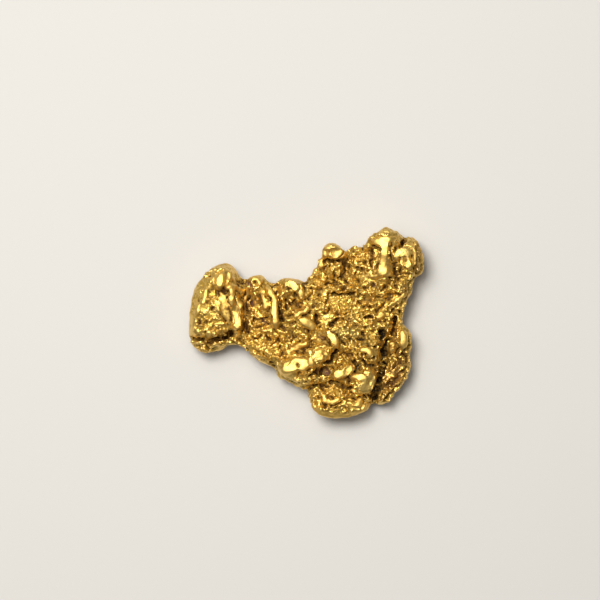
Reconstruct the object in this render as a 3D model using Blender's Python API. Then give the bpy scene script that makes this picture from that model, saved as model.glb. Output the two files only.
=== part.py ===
"""A natural gold nugget, lying on its broad underside.

One solid piece of placer gold: a rounded head on the left, a narrow neck, a broad crumpled middle, a crowned arm
to the upper right with a small knob beside it, a rimmed foot at the bottom and a thin flap folded up along the right
side, with a deep crack behind it. It lies in the XY plane, +Z up, with its origin under the middle of its box.

It is worked as a sculptor would: a thin web with the true outline, egg-shaped lobes fused onto it, then ridges
raised and cracks and pits pressed into the skin, and last the flats it has worn on its underside.
"""

import math
from collections import namedtuple

import bmesh
import bpy
import numpy as np
from mathutils import Matrix, Vector, noise

# Driving dimensions, in metres. The nugget is worked in millimetres and then brought to this box.
LENGTH = 0.0221
WIDTH = 0.0178
HEIGHT = 0.0053
MM = 0.001

# How finely it is worked, in millimetres, and how many triangles are left at the end.
FUSE_VOXEL = 0.20
CARVE_VOXEL = 0.17
FUSE_SMOOTHING = 4
CARVE_SMOOTHING = 2
TRIANGLES = 9000

GOLD = (0.83, 0.56, 0.16, 1.0)
GOLD_ROUGHNESS = 0.28

# The outline from above, clockwise from the top of the head, in millimetres.
OUTLINE = [
    # The head's top, the neck's knob and the waist, as far as the foot of the step.
    (-7.85, 5.64), (-7.05, 5.48), (-6.50, 5.04), (-5.92, 4.08), (-5.36, 4.28), (-4.48, 4.76), (-4.00, 4.56),
    (-3.64, 4.08), (-3.20, 3.88), (-2.72, 3.92), (-2.40, 4.28), (-1.68, 4.44), (-0.88, 4.32), (-0.40, 4.00),
    (0.00, 3.78), (0.25, 4.30), (0.75, 4.58),
    # The step, the small knob and the shelf beside it.
    (0.92, 5.00), (1.20, 5.33), (1.25, 5.83), (1.50, 6.33), (1.67, 6.92), (1.92, 7.25), (2.33, 7.46),
    (2.83, 7.33), (3.33, 7.00), (3.75, 6.67), (3.92, 6.35), (4.00, 7.17), (4.83, 7.21), (5.42, 7.42),
    # The crown.
    (5.92, 7.75), (6.17, 8.21), (6.58, 8.46), (7.00, 8.50), (7.75, 9.00), (8.75, 8.58), (9.08, 8.29),
    (9.25, 8.00), (9.58, 8.12), (10.00, 8.04), (10.42, 7.75), (10.75, 7.25), (11.00, 6.67), (11.08, 6.08),
    (11.04, 5.33), (10.83, 4.75), (10.21, 4.00),
    # Down the right side and round the tip of the flap.
    (10.08, 3.42), (9.92, 2.92), (9.54, 2.58), (9.42, 1.92), (9.21, 1.25), (9.08, 0.55), (9.12, 0.00),
    (9.42, -0.58), (9.67, -1.08), (9.92, -1.67), (9.92, -2.17), (9.67, -3.00), (9.75, -3.83), (9.83, -4.33),
    (9.58, -5.00), (9.17, -5.58), (8.42, -6.42), (7.50, -7.33), (7.00, -7.42), (6.55, -7.60), (6.35, -6.60),
    # The foot.
    (6.23, -7.00), (6.08, -7.42), (5.75, -7.92), (5.33, -8.38), (4.75, -8.67), (4.00, -8.83), (3.17, -8.79),
    (1.50, -8.54), (0.92, -8.25), (0.50, -7.83), (0.29, -7.42), (0.37, -7.00), (0.29, -6.50), (0.00, -6.08),
    # The long lump, the shoulder and the web under the neck.
    (-0.50, -5.92), (-1.44, -5.52), (-2.08, -5.20), (-2.48, -4.80), (-2.72, -4.32), (-3.04, -4.16),
    (-3.68, -3.92), (-4.96, -3.20), (-5.60, -2.36), (-6.00, -2.08), (-6.40, -1.88), (-7.20, -2.00),
    # Round the head.
    (-7.76, -2.08), (-8.16, -2.44), (-8.80, -2.64), (-9.44, -2.64), (-10.08, -2.44), (-10.48, -2.08),
    (-10.80, -1.52), (-11.04, -1.04), (-11.10, -0.32), (-11.00, 0.56), (-10.88, 1.36), (-10.52, 2.80),
    (-10.28, 3.44), (-9.84, 4.08), (-9.04, 5.12), (-8.48, 5.48),
]

# The web that holds the outline: heights of its underside and top, and how far its rounded edge reaches in.
WEB_LOW = 0.75
WEB_HIGH = 2.75
WEB_EDGE = 0.80
WEB_EDGE_STEPS = 5

# Each lobe is a full-bodied egg: its centre in plan, its half length and half width, the turn of its length from
# +X in degrees, and the heights of its underside and top. Millimetres.
Lobe = namedtuple("Lobe", "name at half turn low high")
LOBES = [
    # The head at the left end.
    Lobe("head", (-8.55, 1.40), (3.75, 2.35), 80, -0.25, 4.40),
    Lobe("head_crown", (-7.80, 4.10), (1.35, 1.30), 20, 1.00, 4.70),
    Lobe("head_lip", (-9.15, -1.50), (1.70, 1.05), -5, 0.30, 2.70),
    Lobe("head_post", (-6.55, 1.60), (2.40, 0.75), 96, 1.00, 4.50),
    # The neck and its shoulder.
    Lobe("neck", (-4.70, 0.90), (3.30, 1.75), 87, 0.50, 3.30),
    Lobe("neck_knob", (-4.55, 3.75), (0.90, 0.90), 0, 1.20, 4.00),
    Lobe("neck_web", (-6.45, -1.10), (1.40, 0.75), -5, 0.70, 2.60),
    Lobe("shoulder", (-3.90, -2.30), (1.90, 1.30), -38, 0.20, 3.60),
    # The waist.
    Lobe("waist", (-1.50, 0.40), (3.60, 3.30), 0, 0.40, 3.80),
    Lobe("waist_notch", (-3.05, 2.90), (0.90, 0.95), 0, 1.00, 3.60),
    Lobe("waist_knob", (-1.50, 3.10), (1.35, 1.20), 0, 0.80, 4.30),
    Lobe("saddle", (0.40, 2.80), (1.20, 1.00), 0, 0.80, 3.80),
    # The long smooth lump and what lies below it.
    Lobe("long_lump", (-0.45, -4.10), (2.35, 1.50), -17, 0.10, 4.30),
    Lobe("long_lump_arm", (1.35, -3.00), (1.80, 0.95), 32, 1.50, 4.50),
    Lobe("lower_body", (2.60, -4.20), (3.30, 2.50), 0, 0.30, 3.50),
    Lobe("mid_lump", (3.65, -4.30), (1.15, 0.80), 20, 1.50, 4.30),
    Lobe("cheek", (5.45, -5.30), (1.50, 1.15), 66, 0.60, 4.20),
    Lobe("foot", (3.25, -6.95), (2.85, 1.75), -2, -0.30, 3.40),
    Lobe("heel", (1.30, -6.70), (0.95, 1.00), 0, 0.60, 3.00),
    # The broad middle.
    Lobe("heart", (3.90, 0.60), (4.50, 3.90), 10, 0.30, 3.90),
    Lobe("rise", (5.80, -2.20), (1.90, 1.90), 0, 1.00, 3.90),
    # The arm to the upper right.
    Lobe("arm", (6.30, 4.20), (3.50, 2.50), 38, 0.50, 4.30),
    Lobe("arm_shelf", (4.95, 6.00), (1.25, 1.10), 0, 1.00, 4.20),
    Lobe("crown", (7.70, 6.60), (2.05, 2.00), 0, 0.20, 5.00),
    Lobe("crown_cap", (7.75, 7.75), (1.20, 1.10), -10, 1.20, 5.30),
    Lobe("crown_ear", (6.55, 7.50), (0.75, 0.80), 20, 1.20, 4.60),
    Lobe("crown_cheek", (9.50, 6.10), (1.45, 1.90), 0, -0.25, 4.80),
    Lobe("wrist", (8.80, 3.60), (1.25, 1.20), 0, 0.30, 4.00),
    Lobe("hip", (8.20, 2.00), (1.10, 1.10), 0, 0.60, 3.70),
    # The small knob and its stem.
    Lobe("knob", (2.65, 6.65), (1.05, 0.75), -12, 2.00, 4.90),
    Lobe("knob_stem", (2.55, 5.30), (1.30, 1.30), 0, 0.80, 4.00),
    Lobe("step", (1.40, 4.30), (1.10, 0.80), 48, 0.80, 3.70),
    # The flap on the right.
    Lobe("flap_top", (8.25, 0.20), (2.20, 0.90), 88, 0.50, 3.50),
    Lobe("flap_middle", (8.75, -2.10), (2.10, 1.10), 84, 0.10, 3.40),
    Lobe("flap_low", (8.45, -4.75), (1.85, 1.15), 62, -0.10, 3.00),
    Lobe("flap_tip", (7.50, -6.50), (1.20, 0.75), 40, 0.00, 2.60),
]
FULLNESS = 2.3  # the power of the lobes' superellipsoid: 2 is an egg, more is squarer

# Strokes drawn on the upper skin: the points they pass, half their width, and how high they stand (below zero, how
# deep they cut). Millimetres.
Stroke = namedtuple("Stroke", "name points reach rise")
RIDGES = [
    Stroke("head_bean", [(-8.05, 4.40), (-8.00, 3.80)], 0.50, 0.40),
    Stroke("head_pillar", [(-6.95, 3.50), (-6.85, 2.40), (-6.50, 1.40), (-6.40, -0.40)], 0.45, 0.60),
    Stroke("head_strip", [(-9.30, 3.30), (-9.60, 2.20), (-10.20, 1.10)], 0.45, 0.30),
    Stroke("neck_ridge", [(-3.60, 3.20), (-2.95, 2.40), (-2.80, 1.30), (-2.70, 0.00)], 0.45, 0.60),
    Stroke("waist_ridge", [(-2.00, 3.10), (-1.90, 1.90)], 0.35, 0.35),
    Stroke("waist_hook", [(-1.40, 3.80), (-0.75, 3.50), (-0.35, 2.60)], 0.42, 0.50),
    Stroke("waist_fold", [(-1.00, 1.00), (0.10, 1.35)], 0.38, 0.40),
    Stroke("waist_tongue", [(-0.50, 0.50), (0.90, -0.50)], 0.50, 0.40),
    Stroke("shoulder_slit", [(-4.45, -2.95), (-3.60, -3.25)], 0.38, 0.40),
    Stroke("squiggle", [(2.20, -0.80), (2.75, -1.30), (2.90, -1.90), (2.55, -2.40)], 0.45, 0.55),
    Stroke("mid_bar", [(2.90, -4.85), (4.30, -4.10)], 0.45, 0.35),
    Stroke("mid_knob", [(3.20, -3.20), (3.70, -3.30)], 0.70, 0.45),
    Stroke("hook", [(5.20, -2.30), (5.80, -2.40), (6.15, -2.95)], 0.42, 0.45),
    Stroke("crown_bar", [(6.50, 7.90), (8.30, 8.00)], 0.50, 0.40),
    Stroke("crown_stem", [(7.50, 7.70), (7.35, 6.20), (7.40, 5.00), (7.90, 4.30)], 0.50, 0.50),
    Stroke("cheek_knob", [(9.15, 6.55), (9.25, 6.65)], 0.80, 0.45),
    Stroke("wrist_ridge", [(9.60, 2.75), (8.50, 2.00), (7.20, 0.90)], 0.42, 0.45),
    Stroke("arm_ledge", [(2.60, 3.10), (4.60, 3.20), (6.30, 2.60)], 0.50, 0.35),
    Stroke("foot_rim", [(0.70, -7.70), (2.20, -8.35), (3.90, -8.45), (5.20, -8.00), (5.90, -7.20)], 0.38, 0.35),
    Stroke("flap_bean", [(9.05, -0.80), (9.15, -1.80)], 0.45, 0.40),
    Stroke("flap_pearl", [(8.05, -2.10), (8.05, -2.70)], 0.45, 0.35),
    Stroke("flap_fold", [(7.60, -4.60), (9.20, -3.70)], 0.35, 0.30),
]
CRACKS = [
    Stroke("flap_crack", [(8.45, 0.50), (8.30, -0.80), (7.55, -2.00), (7.40, -3.50), (7.05, -4.80), (6.75, -5.90),
                          (6.45, -6.70), (6.35, -7.60)], 0.48, -1.60),
    Stroke("head_crack", [(-10.90, -1.25), (-9.90, -1.30), (-9.00, -1.60), (-8.40, -1.45), (-7.50, -1.15),
                          (-6.90, -0.85)], 0.42, -1.00),
    Stroke("neck_groove", [(-5.80, 4.20), (-5.40, 2.80), (-5.60, 1.50), (-5.75, 0.40), (-5.40, -0.60)], 0.45, -0.90),
    Stroke("neck_pocket", [(-4.95, 2.20), (-4.90, 1.50)], 0.60, -0.60),
    Stroke("neck_hollow", [(-4.60, 0.40), (-3.60, 0.20)], 0.55, -0.65),
    Stroke("waist_groove", [(-2.40, 1.70), (-2.05, 0.40)], 0.36, -0.60),
    Stroke("waist_pocket", [(-1.20, 2.10), (-0.60, 1.70)], 0.55, -0.45),
    Stroke("knob_crease", [(1.90, 5.85), (3.00, 5.90), (3.90, 6.30)], 0.36, -0.70),
    Stroke("foot_crease", [(0.30, -6.00), (1.50, -5.80), (2.30, -5.35), (3.20, -5.60), (4.20, -6.30),
                           (5.40, -6.95)], 0.42, -0.80),
    Stroke("lump_hollow", [(1.20, -4.50), (2.10, -4.40)], 0.48, -0.80),
    Stroke("lump_crease", [(2.20, -3.70), (2.90, -2.70)], 0.40, -0.50),
    Stroke("crown_notch", [(9.30, 8.30), (9.10, 7.50), (8.50, 6.70)], 0.40, -0.75),
    Stroke("crown_trough", [(6.35, 7.10), (6.25, 5.60)], 0.50, -0.45),
    Stroke("heart_ledge", [(2.40, 1.30), (2.40, 2.60), (4.50, 2.65)], 0.40, -0.40),
    Stroke("heart_pit", [(2.40, 0.00), (2.80, 0.10)], 0.40, -0.55),
    Stroke("ring_pit", [(5.60, 0.65), (6.00, 0.65)], 0.40, -0.50),
    Stroke("dark_hole", [(7.20, -0.60), (7.20, -1.10)], 0.48, -0.80),
    Stroke("dark_pit", [(5.20, -0.90), (5.50, -1.00)], 0.40, -0.50),
    Stroke("dark_crease", [(4.60, -3.60), (5.00, -4.20)], 0.40, -0.60),
]

# The crumpling of the whole skin: the size of its lumps, how far they stand and the seed that places them.
Crumple = namedtuple("Crumple", "size rise seed")
CRUMPLES = [Crumple(1.9, 0.26, 3.0), Crumple(0.85, 0.20, 11.0)]
UP_FROM = 0.05  # strokes fade in on skin whose normal's upward part lies between these
UP_TO = 0.55

# The underside has small flats, worn by sliding on gravel. Points this near the ground are on them, in millimetres.
FLAT_SNAP = 0.03

BODY = "nugget"


def clear_scene():
    for obj in list(bpy.data.objects):
        bpy.data.objects.remove(obj)


def add_web(mesh):
    """Adds the thin web with the true outline and a rounded edge all round."""
    rim = [Vector(point) for point in OUTLINE]
    inward = []
    for i, here in enumerate(rim):
        along = rim[(i + 1) % len(rim)] - rim[i - 1]
        inward.append(Vector((along.y, -along.x)).normalized())
    middle = (WEB_LOW + WEB_HIGH) / 2
    half_height = (WEB_HIGH - WEB_LOW) / 2
    rings = []
    for step in range(WEB_EDGE_STEPS + 1):
        angle = math.pi * (step / WEB_EDGE_STEPS - 0.5)
        inset = WEB_EDGE * (1 - math.cos(angle))
        height = middle + half_height * math.sin(angle)
        rings.append([mesh.verts.new((*(here + inset * turn), height)) for here, turn in zip(rim, inward)])
    for lower, upper in zip(rings, rings[1:]):
        for i in range(len(rim)):
            mesh.faces.new((lower[i - 1], upper[i - 1], upper[i], lower[i]))
    mesh.faces.new(rings[0])
    mesh.faces.new(reversed(rings[-1]))


def add_lobe(mesh, lobe):
    """Adds one lobe, as a superellipsoid."""
    half_height = (lobe.high - lobe.low) / 2
    place = Matrix.Translation((*lobe.at, lobe.low + half_height))
    turn = Matrix.Rotation(math.radians(lobe.turn), 4, "Z")
    size = Matrix.Diagonal((*lobe.half, half_height, 1))
    made = bmesh.ops.create_icosphere(mesh, subdivisions=4, radius=1.0)
    for vert in made["verts"]:
        reach = sum(abs(axis) ** FULLNESS for axis in vert.co) ** (-1 / FULLNESS)
        vert.co = place @ turn @ size @ (vert.co * reach)


def rough_shape():
    """The web and all the lobes in one mesh, still overlapping, in millimetres."""
    shape = bmesh.new()
    add_web(shape)
    for lobe in LOBES:
        add_lobe(shape, lobe)
    mesh = bpy.data.meshes.new(BODY)
    shape.to_mesh(mesh)
    shape.free()
    obj = bpy.data.objects.new(BODY, mesh)
    bpy.context.scene.collection.objects.link(obj)
    return obj


def apply_modifier(obj, kind, **settings):
    """Adds a modifier, and makes its result the object's own mesh."""
    modifier = obj.modifiers.new(kind.title(), kind)
    for name, value in settings.items():
        setattr(modifier, name, value)
    graph = bpy.context.evaluated_depsgraph_get()
    mesh = bpy.data.meshes.new_from_object(obj.evaluated_get(graph))
    obj.modifiers.clear()
    old = obj.data
    obj.data = mesh
    bpy.data.meshes.remove(old)
    mesh.name = BODY


def fuse(obj, voxel, smoothing):
    """Makes one closed skin of everything that overlaps, and smooths it."""
    apply_modifier(obj, "REMESH", mode="VOXEL", voxel_size=voxel, adaptivity=0.0)
    apply_modifier(obj, "SMOOTH", factor=0.5, iterations=smoothing)


def read_points(mesh):
    points = np.empty(len(mesh.vertices) * 3, dtype=np.float32)
    mesh.vertices.foreach_get("co", points)
    return points.reshape(-1, 3).astype(float)


def read_normals(mesh):
    normals = np.empty(len(mesh.vertices) * 3, dtype=np.float32)
    mesh.vertex_normals.foreach_get("vector", normals)
    return normals.reshape(-1, 3).astype(float)


def write_points(mesh, points):
    mesh.vertices.foreach_set("co", points.astype(np.float32).ravel())
    mesh.update()


def distance_to_path(plan, path):
    """How far each point in plan lies from a path of straight runs."""
    nearest = np.full(len(plan), np.inf)
    for start, end in zip(path, path[1:]):
        start = np.array(start)
        run = np.array(end) - start
        along = np.clip((plan - start) @ run / (run @ run), 0, 1)
        nearest = np.minimum(nearest, np.linalg.norm(plan - start - along[:, None] * run, axis=1))
    return nearest


def smooth_step(values, low, high):
    share = np.clip((values - low) / (high - low), 0, 1)
    return share * share * (3 - 2 * share)


def stroke_heights(plan, strokes):
    """The height that the strokes add at each point: the highest ridge or the deepest cut that reaches it."""
    heights = np.zeros(len(plan))
    for stroke in strokes:
        closeness = 1 - distance_to_path(plan, stroke.points) / stroke.reach
        profile = smooth_step(closeness, 0, 1) * stroke.rise
        heights = np.where(np.abs(profile) > np.abs(heights), profile, heights)
    return heights


def crumple_heights(points):
    """The height that the crumpling adds at each point."""
    heights = np.zeros(len(points))
    for crumple in CRUMPLES:
        shift = Vector((crumple.seed, -crumple.seed, crumple.seed / 2))
        lumps = [noise.noise(Vector(point) / crumple.size + shift) for point in points]
        heights += crumple.rise * np.array(lumps)
    return heights


def work_skin(obj):
    """Raises the ridges, cuts the cracks and crumples the skin."""
    points = read_points(obj.data)
    normals = read_normals(obj.data)
    plan = points[:, :2]
    facing_up = smooth_step(normals[:, 2], UP_FROM, UP_TO)
    lift = facing_up * (stroke_heights(plan, RIDGES) + stroke_heights(plan, CRACKS))
    points[:, 2] += lift
    points += crumple_heights(points)[:, None] * normals
    write_points(obj.data, points)


def wear_flats(obj):
    """Takes off all that reaches below the ground, which leaves small flats for it to lie on."""
    points = read_points(obj.data)
    points[:, 2] = np.maximum(points[:, 2], 0)
    write_points(obj.data, points)


def fit_to_box(obj):
    """Brings the nugget to its real size, in metres, with its origin under the middle of its box."""
    points = read_points(obj.data)
    low = points.min(axis=0)
    high = points.max(axis=0)
    middle = (low + high) / 2
    middle[2] = low[2]
    size = np.array((LENGTH, WIDTH, HEIGHT))
    points = (points - middle) * size / (high - low)
    points[points[:, 2] < FLAT_SNAP * MM, 2] = 0
    write_points(obj.data, points)


def gold():
    material = bpy.data.materials.new("gold")
    material.use_nodes = True
    shader = material.node_tree.nodes["Principled BSDF"]
    shader.inputs["Base Color"].default_value = GOLD
    shader.inputs["Metallic"].default_value = 1.0
    shader.inputs["Roughness"].default_value = GOLD_ROUGHNESS
    return material


def main():
    clear_scene()
    nugget = rough_shape()
    fuse(nugget, FUSE_VOXEL, FUSE_SMOOTHING)
    work_skin(nugget)
    fuse(nugget, CARVE_VOXEL, CARVE_SMOOTHING)
    wear_flats(nugget)
    apply_modifier(nugget, "DECIMATE", ratio=TRIANGLES / (2 * len(nugget.data.polygons)))
    apply_modifier(nugget, "TRIANGULATE")
    fit_to_box(nugget)
    nugget.data.materials.append(gold())


main()
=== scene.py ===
# %% [markdown]
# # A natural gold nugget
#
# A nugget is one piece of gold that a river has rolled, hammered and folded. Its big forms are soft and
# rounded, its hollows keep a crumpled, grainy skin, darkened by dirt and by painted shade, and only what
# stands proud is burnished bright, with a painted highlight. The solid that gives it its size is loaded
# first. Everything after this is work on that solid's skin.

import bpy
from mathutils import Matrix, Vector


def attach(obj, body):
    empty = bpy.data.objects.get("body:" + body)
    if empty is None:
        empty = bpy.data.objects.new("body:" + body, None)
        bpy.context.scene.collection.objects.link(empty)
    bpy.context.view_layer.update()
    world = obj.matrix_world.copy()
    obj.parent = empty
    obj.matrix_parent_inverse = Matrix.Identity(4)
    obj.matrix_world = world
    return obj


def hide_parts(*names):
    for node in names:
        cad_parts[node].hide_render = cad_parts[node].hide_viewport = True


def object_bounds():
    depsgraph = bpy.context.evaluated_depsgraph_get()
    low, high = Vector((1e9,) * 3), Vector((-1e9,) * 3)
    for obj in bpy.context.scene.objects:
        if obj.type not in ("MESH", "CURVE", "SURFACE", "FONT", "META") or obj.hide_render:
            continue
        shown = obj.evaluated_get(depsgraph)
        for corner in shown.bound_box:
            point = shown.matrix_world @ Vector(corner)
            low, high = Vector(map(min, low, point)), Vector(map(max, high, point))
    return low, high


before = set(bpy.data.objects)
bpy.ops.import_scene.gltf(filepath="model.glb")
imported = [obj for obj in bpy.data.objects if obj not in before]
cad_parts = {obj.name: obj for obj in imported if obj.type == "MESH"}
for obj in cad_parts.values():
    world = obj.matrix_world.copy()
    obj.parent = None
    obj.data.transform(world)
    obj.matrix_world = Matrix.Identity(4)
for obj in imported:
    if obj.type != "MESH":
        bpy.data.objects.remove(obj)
cad_box = [list(corner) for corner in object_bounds()]
print("the solid's box, in metres:", cad_box)

# %% [markdown]
# Noise will shape the grain. Blender starts its vector noise from the clock, so without a fixed seed every
# run would give another nugget.

# %% The modules that this script uses
import math

import bpy
import numpy as np
from mathutils import Matrix, Vector, noise

MM = 0.001
noise.seed_set(3)
print("one millimetre is", MM, "metres here")

# %% [markdown]
# ## The working skin
#
# The solid has about nine thousand flat faces, which is far too coarse for gold. A voxel remesh covers it
# with small even faces, and a few smoothing passes melt the old facets away. The work is done in
# millimetres, because the remesh can't make voxels under a tenth of a millimetre in a scene that is
# measured in metres.

# %% Helpers that change a mesh and read its points
def apply_modifier(obj, kind, **settings):
    modifier = obj.modifiers.new(kind.title(), kind)
    for name, value in settings.items():
        setattr(modifier, name, value)
    graph = bpy.context.evaluated_depsgraph_get()
    mesh = bpy.data.meshes.new_from_object(obj.evaluated_get(graph))
    obj.modifiers.clear()
    old = obj.data
    obj.data = mesh
    bpy.data.meshes.remove(old)


def melt(obj, passes):
    apply_modifier(obj, "SMOOTH", factor=0.5, iterations=passes)


def read_points(mesh):
    points = np.empty(len(mesh.vertices) * 3, dtype=np.float32)
    mesh.vertices.foreach_get("co", points)
    return points.reshape(-1, 3).astype(float)


def read_normals(mesh):
    normals = np.empty(len(mesh.vertices) * 3, dtype=np.float32)
    mesh.vertex_normals.foreach_get("vector", normals)
    return normals.reshape(-1, 3).astype(float)


def write_points(mesh, points):
    mesh.vertices.foreach_set("co", points.astype(np.float32).ravel())
    mesh.update()


# %% Copy the solid and cover it with small faces
SKIN_VOXEL = 0.072
MELTING_PASSES = 7

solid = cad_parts["nugget"]
skin_mesh = solid.data.copy()
skin_mesh.transform(solid.matrix_world)
write_points(skin_mesh, read_points(skin_mesh) / MM)
nugget = bpy.data.objects.new("gold_nugget", skin_mesh)
bpy.context.scene.collection.objects.link(nugget)
apply_modifier(nugget, "REMESH", mode="VOXEL", voxel_size=SKIN_VOXEL)
melt(nugget, MELTING_PASSES)
print("points in the working skin:", len(nugget.data.vertices))

# %% [markdown]
# ## Marks
#
# The river's work is several hundred small marks: ridges, creases, beads, pits, plates and stains. Each is
# placed in millimetres, seen from above. Marks of one size share a call, which gives half the
# width (the reach), then the height, then a path or a place for each. A patch or a plate is an ellipse:
# its middle, half its length, half its width, and its turn in degrees. A bead or a pit is a path that is
# only a dot long, and a polished bar gets a third more width for its soft shoulders. These functions only
# collect the marks. All of them are pressed into the skin together, later, so that crossings stay clean.

# %% Functions that write a mark down
FACING_THE_LIGHT = (-0.06, 0.09, 1.0)
BAR_SPREAD = 1.35
DOT = 0.01

ridges = []
polished_ridges = []
creases = []
rubbed_patches = []
facets = []
stains_and_shade = []


def ridge(reach, rise, *paths):
    ridges.extend((path, reach, rise) for path in paths)


def crease(reach, depth, *paths):
    creases.extend((path, reach, depth) for path in paths)


def bead(reach, rise, *places):
    ridge(reach, rise, *([(x, y), (x, y + DOT)] for x, y in places))


def pit(reach, depth, *places):
    crease(reach, depth, *([(x, y), (x, y + DOT)] for x, y in places))


def polish(reach, rise, *points):
    polished_ridges.append((points, BAR_SPREAD * reach, rise))


def facet(x, y, half_length, half_width, turn=0, lift=0.0, facing=FACING_THE_LIGHT, rim_lean=0.12):
    facets.append((x, y, half_length, half_width, turn, lift, facing, rim_lean))


def patch(x, y, half_length, half_width, turn=0, strength=1.0):
    return x, y, half_length, half_width, turn, strength


def rub(*patches):
    rubbed_patches.extend(patch(*numbers) for numbers in patches)


# A stain can also be painted shade: the black in cracks, creases and pits, and part of the olive, where the
# skin leans away from the lamp.
def stain_and_shade(colour, *patches):
    stains_and_shade.extend((colour, *patch(*numbers)) for numbers in patches)


def count_marks():
    print("so far:", len(ridges), "ridges,", len(polished_ridges), "bars,", len(creases), "creases,",
          len(facets), "plates,", len(rubbed_patches), "rubbed patches,", len(stains_and_shade), "stains_and_shade")


# %% [markdown]
# ## The head
#
# The rounded left end is the most worn part. It has a bright bean near its top, a rubbed pillar down its
# right side, a crumpled patch low down, and a deep crack above its lower lip.

# %% Raised marks on the head
polish(0.32, 0.26, (-7.88, 4.55), (-8.05, 3.75))  # the bean near the top
polish(0.17, 0.2, (-7.3, 3.42), (-6.95, 3.58), (-6.35, 3.36), (-5.92, 3.08))  # the bar across the pillar
polish(0.22, 0.28, (-6.88, 3.2), (-6.86, 2.9), (-6.92, 2.35), (-6.8, 1.9))  # the upper half of the pillar
polish(0.26, 0.36, (-6.15, 1.85), (-6.3, 1.4), (-6.32, 0.7), (-6.38, -0.15))  # the lower half of the pillar
polish(0.17, 0.26, (-6.6, 1.62), (-6.35, 1.35))  # the link between the two halves
polish(0.2, 0.24, (-9.28, 3.15), (-9.32, 2.75), (-9.5, 2.05))  # a fold left of the bean
polish(0.19, 0.2, (-10.25, 2.2), (-10.1, 1.75), (-10.02, 1.35), (-10.2, 0.9))  # the rim on the far left
ridge(0.22, 0.12, [(-9.4, 4.6), (-9.0, 4.9), (-8.4, 5.15), (-7.9, 5.28)], [(-7.5, 4.75), (-7.0, 4.75)])
ridge(0.2, 0.14, [(-8.95, 0.45), (-8.65, 0.62), (-8.4, 0.4)])
ridge(0.18, 0.16, [(-8.8, -0.2), (-8.5, 0.1), (-8.25, -0.3), (-8.7, -0.65)],
      [(-7.95, -0.5), (-7.5, -0.95)])
ridge(0.18, 0.1, [(-7.15, 4.35), (-7.25, 3.9)])
ridge(0.15, 0.1, [(-8.65, 4.4), (-8.65, 3.7)], [(-9.05, 4.3), (-9.05, 3.6)])
bead(0.28, 0.22, (-9.65, -0.15))
bead(0.24, 0.2, (-6.15, 1.75))
bead(0.24, 0.16, (-8.1, 1.38))
bead(0.2, 0.18, (-8.45, -0.9))
bead(0.2, 0.1, (-10.15, -0.7))
bead(0.18, 0.14, (-7.95, 1.9), (-9.0, 2.3), (-8.75, 2.05))
bead(0.16, 0.14, (-7.7, 1.55), (-9.55, -0.6), (-8.9, -0.9))
count_marks()

# %% Cut marks on the head
crease(0.18, 0.22, [(-5.95, 1.2), (-6.02, 0.2), (-6.1, -0.6)])
crease(0.16, 0.18, [(-7.15, 2.8), (-7.12, 2.1), (-6.85, 1.62)])
crease(0.15, 0.16, [(-7.95, 3.42), (-7.4, 3.6), (-7.0, 3.95), (-6.8, 4.02)])
crease(0.15, 0.14, [(-9.0, 4.52), (-8.5, 4.68), (-8.1, 4.92), (-7.75, 5.15)])
crease(0.14, 0.24, [(-6.2, 3.9), (-6.22, 3.5)])
crease(0.14, 0.2, [(-6.85, 3.33), (-6.5, 3.18), (-6.1, 2.98)])
crease(0.14, 0.18, [(-9.45, -0.75), (-9.2, -1.3)])
crease(0.14, 0.16, [(-9.1, 3.25), (-9.05, 3.05)])
crease(0.14, 0.14, [(-8.7, 1.16), (-8.4, 1.12), (-8.0, 0.95), (-7.7, 0.6), (-7.4, 0.38)])
crease(0.14, 0.1, [(-9.75, 4.2), (-9.62, 3.4), (-9.72, 2.5)])
crease(0.13, 0.18, [(-6.62, 3.0), (-6.6, 2.3), (-6.5, 1.95)])
crease(0.13, 0.16, [(-9.25, 1.95), (-9.2, 2.45), (-8.8, 2.58)])
crease(0.13, 0.14, [(-6.82, 1.5), (-6.75, 0.8), (-6.72, 0.1)])
crease(0.12, 0.16, [(-9.0, -0.05), (-8.85, -0.45), (-8.95, -0.7)])
crease(0.12, 0.14, [(-8.15, -0.1), (-8.05, -0.55), (-7.75, -0.95)])
crease(0.12, 0.12, [(-8.6, 5.05), (-8.2, 5.32)], [(-8.88, 4.5), (-8.85, 3.8)])
pit(0.3, 0.28, (-8.75, 1.52))
pit(0.26, 0.12, (-9.95, -1.0))
pit(0.24, 0.22, (-9.95, 0.25))
pit(0.22, 0.2, (-9.35, 0.22))
pit(0.22, 0.14, (-7.55, 0.3))
pit(0.16, 0.16, (-8.75, -1.1))
count_marks()

# %% The crack and the crumpled lip below it
crease(0.24, 0.6, [(-9.1, -1.9), (-8.85, -1.62), (-8.5, -1.48), (-8.0, -1.4), (-7.4, -1.2),
       (-6.9, -0.92)])
crease(0.2, 0.4, [(-10.8, -1.2), (-10.35, -1.38), (-9.95, -1.42), (-9.45, -1.4)])
crease(0.14, 0.24, [(-10.15, -2.02), (-9.7, -1.92), (-9.3, -2.0), (-9.0, -2.4)])
crease(0.14, 0.2, [(-7.85, -1.95), (-7.45, -1.62), (-7.0, -1.52), (-6.6, -1.7)])
crease(0.12, 0.18, [(-8.72, -2.35), (-8.5, -2.08), (-8.2, -2.02)])
ridge(0.26, 0.18, [(-8.8, -2.0), (-8.2, -1.72)])
ridge(0.22, 0.14, [(-10.6, -1.65), (-10.15, -1.7)])
ridge(0.18, 0.14, [(-10.0, -2.32), (-9.3, -2.3)])
count_marks()

# %% Shine, dirt and painted shade on the head
facet(-7.12, 4.62, 0.42, 0.36, 60, 0.06)  # right of the bean
facet(-7.93, 4.1, 0.66, 0.32, 80, 0.06)  # the bean
facet(-6.34, 0.75, 1.6, 0.4, 90, 0.2)  # the pillar
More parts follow.
